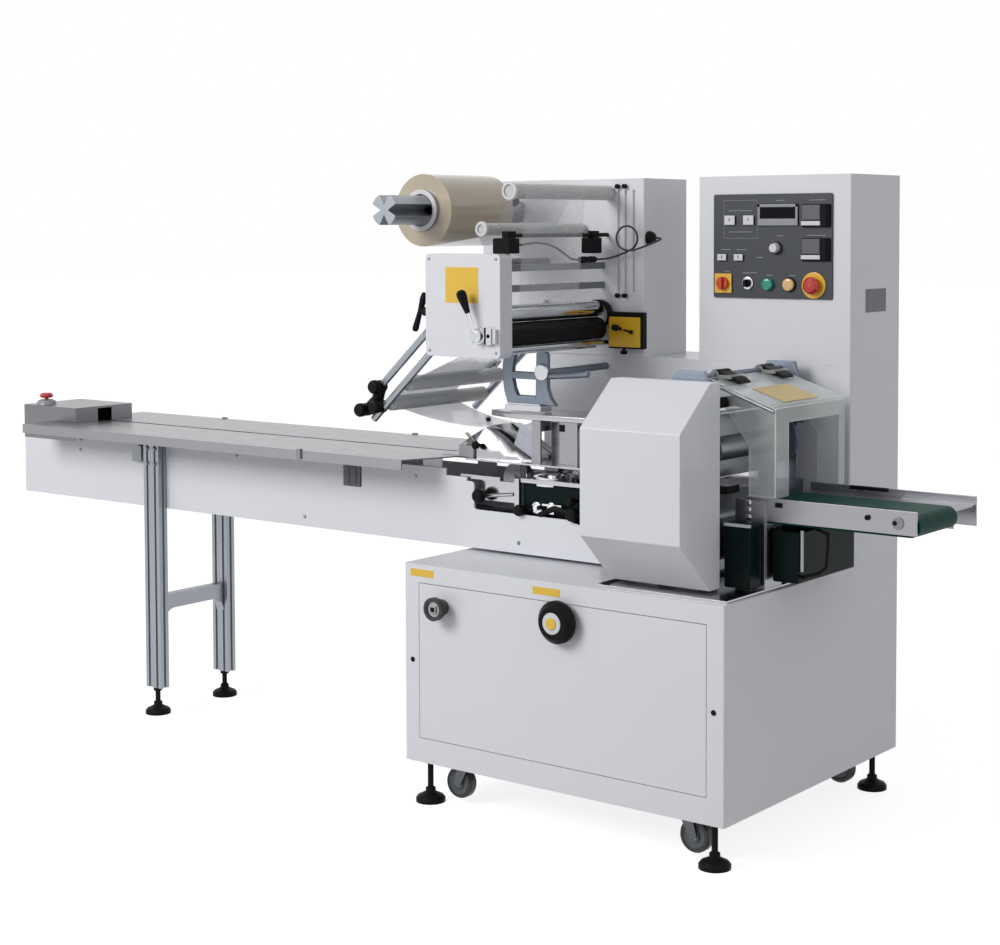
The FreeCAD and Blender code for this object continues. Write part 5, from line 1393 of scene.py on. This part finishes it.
@dataclass
class Outfeed:
    """The outfeed conveyor: rails, slider bed, a belt narrower than the frame, and the bent post."""
    rails_x: tuple[float, float] = (-60.0, 340.0)
    front: float = 184.0
    back: float = 475.0
    high: float = 770.0
    low: float = 720.0
    belt_y: tuple[float, float] = (190.0, 366.0)
    belt_z: float = 738.0
    belt_r: float = 23.0
    nose_x: float = 322.0
    tail_x: float = -30.0

    def build(self) -> None:
        """Make the frame, the belt, the post and the small fittings."""
        x0, x1 = self.rails_x
        front, back, low, edge = self.front, self.back, self.low, self.belt_y[1]
        form = Form().blocks((((x0, front, low), (x1, front + 4, self.high)),
                              ((x0, back - 4, 706), (x1, back, self.high)),
                              ((x0, edge + 8, 748), (x1 - 4, back - 4, 752)),
                              ((x0, edge + 3, 712), (x1 - 6, edge + 7, 757)),
                              ((x0, front + 4, low), (x1 - 60, edge + 3, low + 3)),
                              ((-82, front - 6, 573), (-8, front, 764)),
                              ((-14, front, 573), (-8, front + 66, low))))
        form.piece("outfeed_rails", STAINLESS, ease=0.0008, stands_for=("outfeed_frame",))
        arc = [math.radians(-90 + 15 * n) for n in range(13)]
        track = []
        for centre, way, angles in ((self.nose_x, 1, arc), (self.tail_x, -1, reversed(arc))):
            track += [(centre + way * self.belt_r * math.cos(a), self.belt_z + self.belt_r * math.sin(a))
                      for a in angles]
        Form().prism(track, Axis.Y, *self.belt_y).piece("narrow_belt", BELT, ease=0.0008,
                                                       stands_for=("outfeed_belt",))
        form = Form().turned([(13, 0), (13, 2), (11, 3)], (self.nose_x - 24, self.front, 744), FORWARD, 32)
        form.piece("drum_plug", GREY_PLASTIC, ease=0.0004)
        form = Form().turned([(6, 0), (6, 5), (4, 6)], (230, self.front, 750), FORWARD, 6)
        form.turned([(5, 0), (5, 4), (4, 5)], (self.nose_x - 30, self.front, 744), FORWARD, 16)
        form.block((14, self.front - 3, 752), (30, self.front, 762))
        form.block((60, 430, 768), (150, 440, 776))
        form.piece("outfeed_screws", BLACK_PLASTIC, ease=0.0004)
        places = [(-48, self.front - 6, z) for z in (758, 742, 726, 710)]
        form = Form().studs([(7, 0), (7, 3), (5.5, 4)], places, FORWARD, 6)
        form.piece("post_bolts", CHROME, ease=0.0004)

    def dress(self) -> None:
        """Leave the finishes to the pieces, which carry their own."""


def main() -> None:
    """Build the studio, then each sub-assembly in order."""
    logging.basicConfig(level=logging.INFO, format="%(message)s")
    Studio().build()
    for assembly in (SensorCable(), Cabinet(), ControlBox(), FilmHead(), Infeed(), Sealing(), Outfeed()):
        assembly.build()
        assembly.dress()
        LOG.info("%s ready", type(assembly).__name__)


if __name__ == "__main__":
    main()
